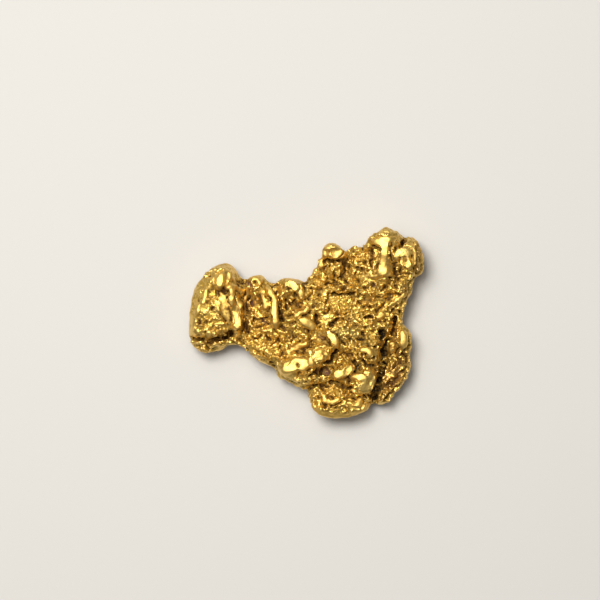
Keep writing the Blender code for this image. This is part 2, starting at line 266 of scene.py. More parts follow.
# The slope beside the pillar.
facet(-7.45, 1.45, 1.45, 0.42, 102, 0.0, facing=(0.22, -0.1, 1.0), rim_lean=0.2)
rub((-7.6, 1.7, 0.95, 0.6, 80), (-10.65, 0.0, 1.05, 0.38, 90), (-7.9, 4.6, 1.3, 0.7, 10, 0.7),
    (-6.45, 0.6, 1.3, 0.5, 90), (-6.5, -0.5, 0.5, 0.45, 0))
stain_and_shade("umber", (-8.75, 1.5, 0.32, 0.28), (-9.95, 0.2, 0.3, 0.4), (-9.1, -1.65, 0.6, 0.22, 20))
stain_and_shade("orange", (-8.3, -0.3, 0.8, 0.7, 0, 0.6))
# The olive is partly a tone of the metal and partly painted shade, where the skin leans away from the lamp.
stain_and_shade("olive", (-10.65, -0.1, 1.2, 0.45, 90, 0.7), (-6.5, -0.5, 0.5, 0.4, 0, 0.6))
count_marks()

# %% [markdown]
# ## The neck and the waist
#
# Behind the head the metal was squeezed from both sides, so its folds stand upright, one behind the
# other, with brown dirt held between them. A bright hook lies over the top of the waist.

# %% Raised marks on the neck
polish(0.22, 0.24, (-4.78, 4.32), (-4.5, 4.28), (-4.32, 4.05), (-4.3, 3.8))  # the small hook on the edge
# The upright fold behind the head.
polish(0.16, 0.2, (-5.7, 3.5), (-5.42, 3.25), (-5.4, 2.75), (-5.68, 2.2), (-5.75, 1.6), (-5.62, 0.9),
       (-5.7, 0.4))
polish(0.2, 0.26, (-4.05, 2.9), (-3.88, 2.45), (-3.78, 1.95), (-3.75, 1.55))  # the short fold in the middle
# The tallest upright fold.
polish(0.25, 0.38, (-3.52, 3.35), (-3.22, 2.85), (-2.95, 2.5), (-2.86, 1.9), (-2.86, 1.3), (-2.76, 0.6),
       (-2.72, -0.15))
ridge(0.17, 0.22, [(-4.62, 2.85), (-4.42, 2.45), (-4.36, 2.05)],
      [(-2.1, 2.75), (-2.0, 2.0), (-1.92, 1.4)])
ridge(0.16, 0.22, [(-2.7, 2.7), (-2.5, 2.3), (-2.36, 1.7), (-2.2, 1.2)])
ridge(0.13, 0.16, [(-5.25, 0.75), (-4.9, 0.88), (-4.3, 0.72), (-3.75, 0.78), (-3.45, 1.0)])
bead(0.26, 0.2, (-4.9, 1.35))
bead(0.24, 0.2, (-3.5, 0.25))
bead(0.2, 0.2, (-2.02, 0.85))
bead(0.2, 0.18, (-4.48, 0.28))
bead(0.2, 0.14, (-5.2, 1.7))
bead(0.18, 0.14, (-3.4, 1.35))
bead(0.16, 0.14, (-4.6, -0.05))
bead(0.15, 0.14, (-4.95, 3.8))
count_marks()

# %% Cut marks on the neck
crease(0.22, 0.55, [(-2.6, 1.6), (-2.38, 1.0), (-2.18, 0.6), (-2.12, 0.38)])
crease(0.2, 0.36, [(-5.52, 2.0), (-5.45, 1.2), (-5.22, 0.6)])
crease(0.2, 0.3, [(-5.22, 3.25), (-5.22, 2.75), (-5.38, 2.35)])
crease(0.18, 0.4, [(-1.78, 2.15), (-1.75, 1.4)])
crease(0.17, 0.28, [(-5.3, 0.6), (-5.12, 0.9), (-4.85, 0.98)])
crease(0.16, 0.24, [(-4.82, 4.02), (-4.6, 3.9), (-4.4, 3.6)], [(-4.16, 2.75), (-4.02, 2.0), (-3.96, 1.5)])
crease(0.16, 0.22, [(-3.35, 2.6), (-3.15, 2.0), (-3.1, 1.2)])
crease(0.15, 0.24, [(-4.9, 0.65), (-4.4, 0.55), (-3.9, 0.58), (-3.55, 0.7)],
       [(-4.92, 0.12), (-4.62, -0.2), (-4.15, -0.1), (-3.92, 0.05)])
crease(0.15, 0.2, [(-3.55, 3.55), (-2.95, 3.7), (-2.4, 3.75)])
pit(0.38, 0.28, (-5.0, 1.95))
pit(0.3, 0.3, (-5.45, 3.85), (-5.15, 3.6))
pit(0.26, 0.3, (-4.0, 0.32))
pit(0.18, 0.18, (-5.12, -0.35))
count_marks()

# %% Shine and dirt on the neck
rub((-5.5, -0.1, 0.6, 0.32, 90), (-4.25, 2.6, 0.35, 0.14, 100), (-2.9, 2.1, 0.7, 0.3, 95),
    (-3.2, -0.3, 0.7, 0.25, 90, 0.7))
stain_and_shade("umber", (-4.25, 2.6, 0.4, 0.16, 100, 0.6), (-5.3, 1.2, 0.25, 0.9, 0, 0.7))
stain_and_shade("plum", (-5.25, 3.7, 0.45, 0.25, -20), (-5.0, 1.95, 0.5, 0.4), (-4.0, 0.32, 0.5, 0.34))
stain_and_shade("orange", (-5.5, -0.1, 0.7, 0.4, 90), (-3.9, 1.2, 1.8, 2.2, 0, 0.7))
count_marks()

# %% Raised marks on the waist
# The hook over the top.
polish(0.28, 0.38, (-1.4, 3.78), (-1.1, 3.58), (-0.66, 3.5), (-0.46, 3.2), (-0.36, 2.62))
# The fold that climbs to the right.
polish(0.19, 0.26, (-0.82, 0.8), (-0.42, 1.05), (0.0, 1.16), (0.22, 1.5))
polish(0.38, 0.34, (-0.15, 0.28), (0.25, 0.1), (0.62, -0.25))  # the bean below that fold
ridge(0.2, 0.14, [(-1.8, 0.4), (-1.1, 0.42)])
ridge(0.18, 0.16, [(-1.2, -0.25), (-0.75, 0.05), (-0.45, -0.15)])
ridge(0.18, 0.14, [(-2.3, 3.75), (-2.2, 4.0)])
ridge(0.16, 0.14, [(-1.8, 3.9), (-1.78, 3.4)])
ridge(0.12, 0.14, [(-1.62, 0.98), (-1.05, 1.05)])
bead(0.24, 0.18, (-1.52, 3.08))
bead(0.2, 0.18, (-1.05, -0.3))
bead(0.2, 0.16, (-1.75, -0.2))
bead(0.18, 0.14, (-0.85, 0.4))
bead(0.17, 0.14, (-1.08, 2.5))
bead(0.15, 0.14, (-1.3, 2.2), (0.3, 2.1))
count_marks()

# %% Cut marks on the waist
crease(0.18, 0.4, [(-0.32, 0.82), (0.0, 0.9), (0.28, 1.08)])
crease(0.17, 0.24, [(-1.42, 3.35), (-1.05, 3.42), (-0.72, 3.2)])
crease(0.16, 0.45, [(-1.78, 0.78), (-1.2, 0.8)])
crease(0.16, 0.3, [(-0.15, 2.6), (-0.02, 2.25)])
crease(0.16, 0.26, [(-1.8, 2.25), (-1.35, 1.9), (-1.0, 2.0)])
crease(0.16, 0.22, [(-1.98, 4.2), (-1.98, 3.7), (-2.02, 3.25)])
crease(0.15, 0.2, [(-0.75, 0.4), (-0.5, 0.0), (-0.1, -0.25), (0.3, -0.65)])
crease(0.14, 0.2, [(-1.05, 2.92), (-0.7, 2.72)], [(-1.9, 0.0), (-1.2, 0.05), (-0.9, 0.1)])
crease(0.13, 0.12, [(-0.85, 1.76), (-0.45, 1.68)])
pit(0.2, 0.24, (-1.2, 2.82))
pit(0.16, 0.24, (-2.15, -0.1))
count_marks()

# %% Shine and dirt on the waist
facet(-0.92, 3.62, 0.72, 0.32, -32, 0.25)  # the top of the hook
facet(-0.42, 2.95, 0.55, 0.3, 100, 0.2)  # the end of the hook
rub((-0.6, 1.6, 0.75, 0.36, 5), (-1.45, 0.4, 0.55, 0.22, 0), (-2.3, 3.35, 0.55, 0.25, 0),
    (-0.7, 3.3, 0.7, 0.4, -40), (0.25, 0.05, 0.7, 0.42, -40))
stain_and_shade("umber", (-1.75, 1.75, 0.18, 0.45, 0), (-2.3, 1.0, 0.22, 0.6, 20))
stain_and_shade("orange", (-0.6, 1.6, 0.8, 0.42, 5), (-2.3, 3.2, 0.6, 0.6, 0, 0.7))
count_marks()

# %% [markdown]
# ## The shoulder and the long smooth lump
#
# Under the neck runs a shoulder of small wormy folds, rich in colour. It ends against the long lump, the
# smoothest and brightest thing on the nugget, which has a rubbed olive skirt below it.

# %% Raised marks on the shoulder
polish(0.22, 0.16, (-1.6, -2.5), (-0.8, -2.2), (0.1, -1.85))  # the low fold above the long lump
ridge(0.22, 0.22, [(-4.45, -2.95), (-4.05, -3.05), (-3.62, -3.25)])
ridge(0.2, 0.16, [(-0.4, -0.9), (0.1, -1.0), (0.1, -1.4)])
ridge(0.18, 0.18, [(-2.6, -0.6), (-2.2, -0.7), (-1.7, -0.8)])
ridge(0.18, 0.14, [(-3.2, -0.6), (-3.6, -0.45), (-3.7, -0.9)])
ridge(0.17, 0.14, [(-1.5, -1.2), (-1.1, -1.35)])
ridge(0.16, 0.18, [(-2.0, -1.3), (-2.15, -1.65), (-2.45, -1.95), (-2.7, -2.4)])
ridge(0.16, 0.16, [(-6.45, -1.02), (-5.9, -1.0)],
      [(-7.0, -1.25), (-6.3, -1.62), (-5.85, -2.1), (-5.5, -2.45)])
bead(0.26, 0.18, (-5.3, -2.0))
bead(0.22, 0.18, (-1.7, -0.8))
bead(0.22, 0.16, (-4.6, -1.6), (-3.7, -1.6))
bead(0.2, 0.18, (-5.5, -1.25))
bead(0.2, 0.16, (-3.1, -1.1))
bead(0.2, 0.14, (-4.95, -2.7), (-2.9, -3.1))
bead(0.2, 0.12, (-1.0, -2.7))
bead(0.18, 0.14, (-2.3, -1.2), (-2.75, -2.35))
bead(0.17, 0.14, (-1.7, -2.35))
count_marks()

# %% Cut marks on the shoulder
crease(0.16, 0.26, [(-1.3, -1.65), (-1.05, -1.35), (-0.95, -1.2)],
       [(0.3, -0.7), (0.45, -1.1), (0.35, -1.5)])
crease(0.15, 0.3, [(-3.25, -3.55), (-2.9, -3.95)])
crease(0.15, 0.26, [(-4.95, -1.15), (-4.5, -1.3), (-4.1, -1.05)],
       [(-3.85, -0.8), (-3.6, -1.15), (-3.3, -1.3)])
crease(0.15, 0.24, [(-5.4, -1.0), (-5.2, -1.35)], [(-0.6, -0.95), (-0.58, -0.8)])
crease(0.15, 0.22, [(-3.25, -2.0), (-2.9, -1.7), (-2.55, -1.4), (-2.4, -1.1)],
       [(-1.75, -1.15), (-1.7, -1.65)])
crease(0.15, 0.2, [(-6.4, -1.3), (-5.9, -1.7), (-5.4, -2.2)],
       [(-5.0, -2.3), (-4.4, -2.5), (-3.8, -2.75), (-3.3, -3.05)],
       [(-4.6, -3.25), (-4.05, -3.35), (-3.6, -3.55)],
       [(-2.9, -2.8), (-2.4, -2.95), (-2.2, -2.6), (-2.35, -2.2)],
       [(-0.55, -2.35), (0.0, -2.12), (0.35, -1.9), (0.6, -1.55)])
crease(0.14, 0.18, [(-0.85, -1.8), (-0.45, -1.65)])
crease(0.13, 0.22, [(-2.6, -3.95), (-2.5, -3.55)])
pit(0.2, 0.22, (-1.35, -1.3))
pit(0.18, 0.26, (-1.95, -3.12))
pit(0.17, 0.26, (-1.55, -2.92))
pit(0.16, 0.2, (-2.7, -0.75), (-4.15, -2.0))
pit(0.15, 0.18, (-1.45, -3.6), (-5.8, -1.5))
count_marks()

# %% Shine and dirt on the shoulder
rub((-4.3, -2.3, 0.6, 0.22, -25, 0.8), (-0.9, -2.25, 1.0, 0.26, 18), (-1.8, -3.55, 0.7, 0.3, -15, 0.7),
    (-2.0, -2.6, 0.35, 0.22, 0, 0.7))
stain_and_shade("umber", (-1.4, -1.35, 0.28, 0.26))
stain_and_shade("orange", (-0.9, -2.2, 1.2, 0.4, 18), (-3.6, -1.6, 2.0, 1.1, -25, 0.7))
count_marks()

# %% Raised marks on the long lump
polish(0.46, 0.24, (-1.8, -4.2), (-1.15, -4.02))  # the left end of the lump
# The curl round its dimple.
polish(0.3, 0.26, (-1.05, -3.52), (-0.45, -3.3), (-0.05, -3.48), (0.05, -3.82), (-0.25, -4.25))
polish(0.28, 0.28, (0.5, -3.4), (0.58, -3.72))  # the link to its right end
ridge(0.4, 0.1, [(1.0, -2.75), (1.5, -2.78), (1.35, -3.2)])
ridge(0.2, 0.2, [(0.15, -2.62), (0.55, -2.4)])
ridge(0.2, 0.14, [(1.0, -2.52), (1.55, -2.52)])
ridge(0.18, 0.18, [(-2.55, -4.6), (-2.05, -5.25), (-1.25, -5.62), (-0.5, -5.8), (0.15, -5.85)])
ridge(0.16, 0.18, [(2.15, -2.5), (2.18, -3.2)], [(-1.05, -5.15), (-0.6, -5.32), (0.15, -5.15)])
ridge(0.15, 0.18, [(0.1, -4.75), (0.45, -4.5)])
bead(0.24, 0.2, (-0.35, -4.8))
bead(0.22, 0.18, (1.75, -5.18))
bead(0.2, 0.16, (1.85, -3.85))
bead(0.17, 0.14, (-1.0, -5.15))
bead(0.16, 0.14, (1.35, -5.1), (0.5, -2.9))
bead(0.14, 0.14, (1.55, -4.82))
count_marks()

# %% Cut marks on the long lump
crease(0.22, 0.5, [(2.95, -2.2), (2.92, -2.6), (2.6, -2.9), (2.4, -3.3), (2.2, -3.6), (1.6, -3.7)])
crease(0.2, 0.46, [(1.5, -4.75), (1.55, -4.15), (1.95, -4.08), (2.6, -4.02)])
crease(0.18, 0.3, [(0.3, -4.95), (0.6, -4.65), (1.05, -4.42)])
crease(0.18, 0.24, [(0.85, -2.35), (0.7, -2.9), (0.3, -3.05)],
       [(-1.7, -3.75), (-1.25, -3.45), (-0.7, -3.12), (-0.1, -3.1)])
crease(0.17, 0.24, [(-0.1, -4.6), (0.25, -4.25), (0.7, -4.05)])
crease(0.16, 0.26, [(-0.78, -5.0), (-0.66, -4.5), (-0.2, -4.48)])
crease(0.16, 0.2, [(0.85, -2.32), (1.5, -2.28), (2.1, -2.2)])
crease(0.15, 0.26, [(0.55, -4.8), (0.75, -5.0)])
crease(0.15, 0.22, [(-0.8, -3.72), (-0.62, -3.95)], [(0.25, -3.2), (0.25, -3.7)])
crease(0.15, 0.2, [(1.75, -2.55), (1.82, -3.2)])
crease(0.14, 0.24, [(0.85, -5.5), (0.85, -5.2)])
crease(0.14, 0.2, [(-1.75, -5.05), (-0.8, -5.5), (0.2, -5.45)])
pit(0.42, 0.3, (2.05, -4.45))
pit(0.36, 0.26, (1.2, -4.5))
count_marks()

# %% Shine, dirt and painted shade on the long lump
facet(-1.45, -4.12, 0.7, 0.4, 10, 0.12)  # the left end
facet(-0.35, -3.72, 0.72, 0.46, 15, 0.06)  # the curl
facet(1.25, -2.85, 0.85, 0.55, 5, 0.0, facing=(0.17, -0.02, 1.0))  # the dull right end
rub((-1.35, -4.15, 0.95, 0.55, 5), (-0.1, -3.8, 0.8, 0.6, 20), (1.3, -2.9, 0.85, 0.55, 5),
    (-1.5, -4.95, 1.1, 0.36, -25), (0.0, -5.65, 0.9, 0.25, 0), (1.7, -1.75, 0.55, 0.4, 0, 0.6))
stain_and_shade("plum", (2.05, -4.45, 0.42, 0.36), (1.1, -4.4, 0.5, 0.22, 10, 0.7),
      (1.4, -1.05, 0.4, 0.3, -40, 0.8))
# The olive is partly a tone of the metal and partly painted shade, where the skin leans away from the lamp.
stain_and_shade("olive", (-1.5, -4.95, 1.2, 0.4, -25), (0.0, -5.65, 1.0, 0.28, 0), (1.7, -1.75, 0.7, 0.45, 0, 0.8))
count_marks()

# %% [markdown]
# ## The middle
#
# The broad middle never touched the stream bed. It keeps its grains, small rings and ledges, and black
# pits.

# %% Raised marks on the middle
ridge(0.17, 0.2, [(5.3, 1.28), (5.85, 1.42)])
ridge(0.16, 0.2, [(3.1, 1.8), (3.2, 1.4), (3.3, 1.08)])
ridge(0.16, 0.18, [(1.0, 1.5), (1.05, 1.3)], [(1.3, 1.4), (1.28, 1.15)])
ridge(0.16, 0.16, [(5.4, 0.62), (5.7, 0.94), (6.3, 0.9), (6.5, 0.65)],
      [(5.5, 0.48), (6.0, 0.34), (6.4, 0.48)])
ridge(0.15, 0.18, [(3.26, 3.5), (3.2, 3.1)], [(0.6, 0.98), (0.72, 0.6)], [(1.9, 3.5), (2.3, 3.62)])
ridge(0.15, 0.14, [(5.2, 1.8), (5.8, 1.98), (6.6, 1.8)])
ridge(0.14, 0.2, [(0.68, 1.9), (0.75, 2.3), (1.0, 2.58), (1.35, 2.4)])
ridge(0.14, 0.18, [(2.7, 2.5), (3.3, 2.6), (4.2, 2.6), (4.38, 2.2), (4.35, 1.9)],
      [(1.2, 2.0), (1.6, 2.12), (1.92, 2.4), (2.0, 2.65)], [(1.62, 1.5), (1.78, 1.85)])
ridge(0.13, 0.18, [(3.2, 0.68), (3.75, 0.66)])
bead(0.24, 0.14, (1.52, 0.9))
bead(0.22, 0.22, (5.45, 2.85))
bead(0.22, 0.2, (2.2, -0.8))
bead(0.22, 0.18, (6.2, -0.05))
bead(0.2, 0.2, (5.6, -0.9))
bead(0.2, 0.14, (3.8, -0.1))
bead(0.18, 0.2, (4.45, 0.45))
bead(0.18, 0.18, (2.0, 1.45))
bead(0.18, 0.16, (4.7, 3.9))
bead(0.17, 0.22, (2.92, 0.15))
bead(0.17, 0.2, (3.25, 0.2))
bead(0.16, 0.18, (1.15, 1.8), (4.1, 1.25))
bead(0.16, 0.16, (4.0, 2.0))
bead(0.16, 0.14, (4.45, -0.05), (1.75, -0.7))
bead(0.15, 0.2, (3.62, 3.08))
bead(0.15, 0.14, (4.3, 0.9), (2.75, 1.25), (4.4, 1.85), (1.2, -0.42), (2.5, 1.65))
bead(0.14, 0.14, (3.25, 2.4), (3.6, 1.6), (3.4, 0.2))
count_marks()

# %% Cut marks on the middle
crease(0.24, 0.6, [(1.0, 0.92), (1.02, 0.1)], [(3.62, 3.55), (3.55, 3.3), (3.38, 3.1)])
crease(0.2, 0.44, [(2.45, -0.08), (2.62, 0.02), (2.78, 0.32)])
crease(0.18, 0.36, [(5.62, 0.68), (6.2, 0.66)])
crease(0.17, 0.36, [(2.22, 3.12), (2.22, 2.8), (2.08, 2.5), (2.02, 1.9)])
crease(0.17, 0.26, [(5.0, 2.12), (5.3, 1.88)])
crease(0.16, 0.34, [(2.5, 2.8), (3.2, 2.72), (4.0, 2.76), (4.45, 2.88)])
crease(0.16, 0.3, [(1.27, 0.6), (1.2, 0.2)], [(1.75, 1.05), (2.1, 1.15), (2.25, 1.5)],
       [(3.05, 0.85), (3.75, 0.92), (3.9, 1.02)])
crease(0.16, 0.26, [(2.5, 3.4), (2.75, 3.0)])
crease(0.15, 0.3, [(0.35, 3.42), (0.95, 3.38), (1.4, 3.35)])
crease(0.15, 0.26, [(2.78, 0.34), (3.05, 0.55), (3.6, 0.42)], [(5.5, 3.45), (5.8, 3.3)])
crease(0.15, 0.24, [(0.3, 2.35), (0.5, 2.8), (0.85, 3.12)], [(1.15, 2.65), (1.35, 2.8)],
       [(0.05, 0.95), (0.3, 1.1)], [(4.5, 2.6), (4.6, 2.1)])
crease(0.15, 0.22, [(5.15, 1.38), (5.6, 1.64), (6.3, 1.6)], [(4.8, 3.1), (5.2, 2.78), (5.0, 2.5)])
crease(0.14, 0.24, [(6.1, -0.58), (6.55, -0.6)])
pit(0.26, 0.3, (5.35, -0.9))
pit(0.24, 0.3, (4.1, 0.4))
pit(0.2, 0.3, (4.62, 0.05))
pit(0.2, 0.2, (4.55, 3.55))
pit(0.18, 0.3, (5.2, 0.15), (5.2, -0.35))
pit(0.18, 0.24, (2.3, -0.45))
pit(0.18, 0.22, (3.8, 1.3))
pit(0.17, 0.3, (5.6, -0.35))
pit(0.16, 0.3, (4.72, -0.2))
pit(0.16, 0.2, (3.9, 2.25))
pit(0.16, 0.18, (3.6, 2.1))
count_marks()

# %% Shine, dirt and painted shade on the middle
rub((6.05, 2.1, 0.8, 0.4, 10, 0.8), (1.5, 3.1, 0.6, 0.22, 5, 0.8), (1.9, 0.7, 0.6, 0.3, 20, 0.7))
stain_and_shade("umber", (1.05, 0.5, 0.25, 0.5), (3.55, 3.35, 0.22, 0.36, 20), (4.1, 0.4, 0.22, 0.2))
# The black in this crease is painted shade as well as dirt.
stain_and_shade("black_dirt_and_shade", (2.62, 0.08, 0.25, 0.22))
stain_and_shade("orange", (6.05, 2.2, 0.9, 0.5, 10))
# The olive is partly a tone of the metal and partly painted shade, where the skin leans away from the lamp.
stain_and_shade("olive", (1.5, 3.1, 0.7, 0.28, 5), (1.9, 0.6, 0.7, 0.4, 20, 0.7))
count_marks()

# %% [markdown]
# ## The dark hollow
#
# Between the middle and the flap lies a sheltered hollow, painted black and grey-green, partly as dirt and
# partly as painted shade. A few beads of bare gold shine through, and a bright hook curls at its right end.

# %% Raised marks in the dark hollow
polish(0.26, 0.38, (2.32, -1.05), (2.62, -1.3), (2.84, -1.6), (2.86, -2.05))  # the tongue on the left
polish(0.24, 0.36, (5.32, -2.45), (5.78, -2.42), (6.08, -2.62), (6.05, -2.95))  # the hook on the right
ridge(0.2, 0.18, [(4.2, -1.95), (4.15, -2.25)], [(5.4, -3.9), (5.6, -4.2)])
ridge(0.18, 0.2, [(6.3, -3.4), (6.55, -3.75)])
ridge(0.16, 0.16, [(6.3, -1.9), (6.8, -1.75), (7.0, -1.6)])
ridge(0.15, 0.18, [(4.7, -2.15), (4.95, -2.6), (5.2, -2.85)], [(4.75, -3.1), (5.3, -3.0), (5.9, -3.35)])
ridge(0.15, 0.16, [(6.65, -3.1), (6.55, -3.35)], [(6.4, -1.3), (6.9, -1.2)])
bead(0.24, 0.24, (3.8, -2.52))
bead(0.22, 0.24, (3.32, -2.32))
bead(0.22, 0.18, (4.95, -4.4))
bead(0.2, 0.18, (4.65, -1.3), (5.75, -1.28), (7.0, -1.65))
bead(0.2, 0.14, (4.9, -3.7))
bead(0.18, 0.2, (4.62, -2.85), (6.7, -4.1))
bead(0.18, 0.12, (3.9, -1.35))
bead(0.17, 0.14, (5.1, -1.9))
bead(0.17, 0.12, (3.3, -1.1))
bead(0.15, 0.14, (4.5, -3.25), (4.95, -1.6), (6.85, -4.45))
bead(0.14, 0.14, (3.65, -2.3))
count_marks()

# %% Cut marks in the dark hollow
crease(0.2, 0.4, [(5.4, -3.45), (5.7, -3.9), (6.1, -3.85)])
crease(0.2, 0.36, [(6.4, -3.85), (6.65, -4.35)])
crease(0.2, 0.34, [(2.35, -1.45), (2.4, -1.9), (2.62, -2.05)])
crease(0.18, 0.34, [(4.85, -1.35), (5.4, -1.4)], [(4.6, -1.6), (4.7, -1.95), (4.9, -2.0)],
       [(5.5, -1.8), (5.85, -1.8), (6.05, -2.1)], [(5.65, -2.65), (5.7, -3.0), (5.95, -3.2)])
crease(0.18, 0.3, [(4.2, -1.45), (4.2, -1.8)])
crease(0.17, 0.26, [(4.65, -2.4), (4.85, -2.8)])
crease(0.16, 0.3, [(6.55, -2.1), (6.75, -2.1)], [(4.6, -3.4), (4.7, -3.75)], [(6.35, -3.2), (6.55, -3.1)])
crease(0.16, 0.26, [(5.25, -2.7), (5.4, -2.95)], [(3.3, -3.0), (3.7, -3.1), (3.75, -3.4)],
       [(3.2, -2.7), (3.8, -2.85), (4.4, -2.9)], [(6.0, -1.3), (6.4, -1.7)])
crease(0.14, 0.22, [(3.3, -1.6), (3.7, -1.9)])
crease(0.14, 0.2, [(3.6, -1.1), (4.1, -1.2)])
pit(0.34, 0.3, (7.15, -0.72))
pit(0.3, 0.3, (4.95, -4.05))
pit(0.28, 0.3, (6.95, -2.0))
pit(0.26, 0.3, (7.1, -1.3))
pit(0.24, 0.3, (6.95, -3.7))
pit(0.2, 0.26, (5.75, -3.1))
pit(0.17, 0.26, (4.3, -2.9))
count_marks()

# %% Shine, dirt and painted shade in the dark hollow
facet(2.62, -1.5, 0.62, 0.28, -65, 0.15)  # the tongue
rub((6.3, -2.5, 0.5, 0.4, 0, 0.6))
# The black in the hollow's pits and creases is painted shade as well as dirt.
stain_and_shade("black_dirt_and_shade", (4.7, -1.25, 2.2, 0.9, -20, 0.75), (4.6, -2.3, 1.2, 0.35, -30, 0.6),
      (5.3, -0.6, 0.8, 0.6, 0, 0.6), (7.1, -1.8, 0.55, 1.9, 0, 1.0), (4.95, -4.0, 0.4, 0.5, 0, 0.9),
      (5.8, -3.75, 0.6, 0.28, -15, 0.9), (6.6, -3.0, 0.35, 0.6, 0, 0.6))
# The olive is partly a tone of the metal and partly painted shade, where the skin leans away from the lamp.
stain_and_shade("olive", (3.6, -0.95, 1.3, 0.9, 0, 0.9), (4.7, -3.4, 0.6, 0.6, 0, 0.8))
count_marks()

# %% Raised marks on the lumps below the dark hollow
polish(0.34, 0.3, (3.0, -4.74), (3.62, -4.62), (4.3, -4.12))  # the lump beside the plum pit
polish(0.28, 0.26, (4.35, -4.88), (4.95, -4.88), (5.3, -5.05), (5.5, -5.15))  # the bar to its right
ridge(0.4, 0.22, [(3.3, -3.35), (3.1, -3.6)])
ridge(0.24, 0.18, [(5.85, -4.2), (6.05, -4.55)])
ridge(0.18, 0.16, [(4.35, -5.55), (4.65, -5.9)])
ridge(0.14, 0.14, [(6.6, -4.9), (6.45, -5.5), (6.1, -6.0), (5.8, -6.3)])
bead(0.2, 0.2, (3.15, -4.15))
bead(0.18, 0.12, (4.7, -5.35))
bead(0.15, 0.16, (3.45, -3.55))
count_marks()

# %% Cut marks on the lumps below the dark hollow
crease(0.18, 0.34, [(4.1, -5.0), (4.15, -4.75), (4.45, -4.5), (4.75, -4.3)],
       [(4.05, -5.98), (4.45, -6.0), (4.8, -6.3), (5.1, -6.45)])
crease(0.17, 0.34, [(4.6, -4.58), (5.1, -4.68), (5.6, -4.62)])
crease(0.16, 0.26, [(3.0, -4.0), (3.2, -3.82), (3.5, -3.8)], [(3.3, -4.3), (3.3, -4.05)],
       [(4.05, -5.6), (4.1, -5.3)])
crease(0.15, 0.22, [(5.55, -4.6), (5.45, -4.3), (5.7, -4.0)])
crease(0.15, 0.2, [(4.4, -5.15), (5.0, -5.45), (5.4, -5.45)])
crease(0.15, 0.16, [(6.05, -5.3), (6.0, -5.6)])
count_marks()

# %% Shine, dirt and painted shade on the lumps below the dark hollow
facet(3.3, -4.68, 0.58, 0.3, 5, 0.1)  # the left half of the lump
facet(4.05, -4.32, 0.52, 0.28, 40, 0.1)  # the right half of the lump
facet(5.8, -5.55, 1.1, 0.8, 60, 0.02, facing=(0.3, -0.18, 1.0))  # the olive plate
facet(5.0, -4.98, 0.62, 0.24, -8, 0.08)  # the bar
rub((5.6, -5.7, 0.95, 0.6, 60), (6.15, -4.7, 0.55, 0.4, 90), (3.55, -4.6, 0.9, 0.35, 20),
    (3.4, -5.15, 0.7, 0.25, 0), (5.1, -5.0, 0.7, 0.28, -10))
stain_and_shade("orange", (3.7, -2.85, 0.6, 0.28, -15), (4.7, -5.3, 0.45, 0.25, 0, 0.8))
# The olive is partly a tone of the metal and partly painted shade, where the skin leans away from the lamp.
stain_and_shade("olive", (5.6, -5.6, 1.2, 0.8, 60, 0.9), (3.5, -5.15, 0.8, 0.3, 0))
count_marks()

# %% [markdown]
# ## The foot
#
# The lowest lobe has a smooth rolled rim. Inside the rim its top is grainy, with swirls round a bright
# arc, and a jagged crease parts it from the lumps above.

# %% Raised marks on the foot
polish(0.2, 0.24, (1.75, -6.75), (1.8, -7.15), (2.2, -7.35), (2.7, -7.25), (3.1, -7.1))  # the arc
polish(0.22, 0.24, (5.08, -7.12), (4.9, -7.5))  # a short bar beside the rim
# The rolled rim.
polish(0.22, 0.18, (0.55, -7.75), (1.05, -8.22), (2.2, -8.5), (3.6, -8.62), (4.7, -8.46), (5.4, -8.08),
       (5.88, -7.5))
ridge(0.22, 0.18, [(5.8, -6.7), (5.95, -7.05)])
ridge(0.2, 0.18, [(1.25, -7.9), (1.5, -7.95)], [(1.75, -8.0), (2.1, -7.9)])
ridge(0.2, 0.16, [(3.7, -6.75), (3.95, -6.5), (4.2, -6.2)])
ridge(0.18, 0.16, [(3.9, -7.7), (4.05, -8.0)])
ridge(0.18, 0.14, [(0.75, -6.7), (0.95, -7.2), (0.8, -7.6)])
ridge(0.17, 0.18, [(1.9, -6.35), (2.3, -6.55)])
ridge(0.17, 0.16, [(3.1, -7.65), (3.4, -7.9)], [(2.55, -6.3), (2.6, -6.6)])
ridge(0.16, 0.16, [(2.7, -8.15), (3.05, -7.95)], [(1.6, -6.6), (1.55, -6.3)])
ridge(0.16, 0.14, [(0.6, -7.3), (0.9, -6.9)], [(4.3, -6.6), (4.8, -6.75)])
bead(0.28, 0.22, (3.2, -5.75))
bead(0.22, 0.2, (4.45, -8.28))
bead(0.22, 0.18, (0.75, -6.1))
bead(0.2, 0.14, (1.4, -6.25))
bead(0.18, 0.2, (2.85, -6.65))
bead(0.18, 0.18, (3.9, -6.62), (3.75, -8.2))
bead(0.18, 0.14, (2.65, -5.7), (2.2, -6.05))
bead(0.18, 0.1, (4.5, -7.6), (3.7, -7.55))
bead(0.16, 0.14, (1.8, -5.98), (1.0, -5.95), (3.0, -6.05), (3.25, -6.9), (2.25, -7.05))
bead(0.16, 0.1, (1.3, -7.5))
bead(0.15, 0.14, (4.3, -7.4), (0.4, -6.75))
count_marks()

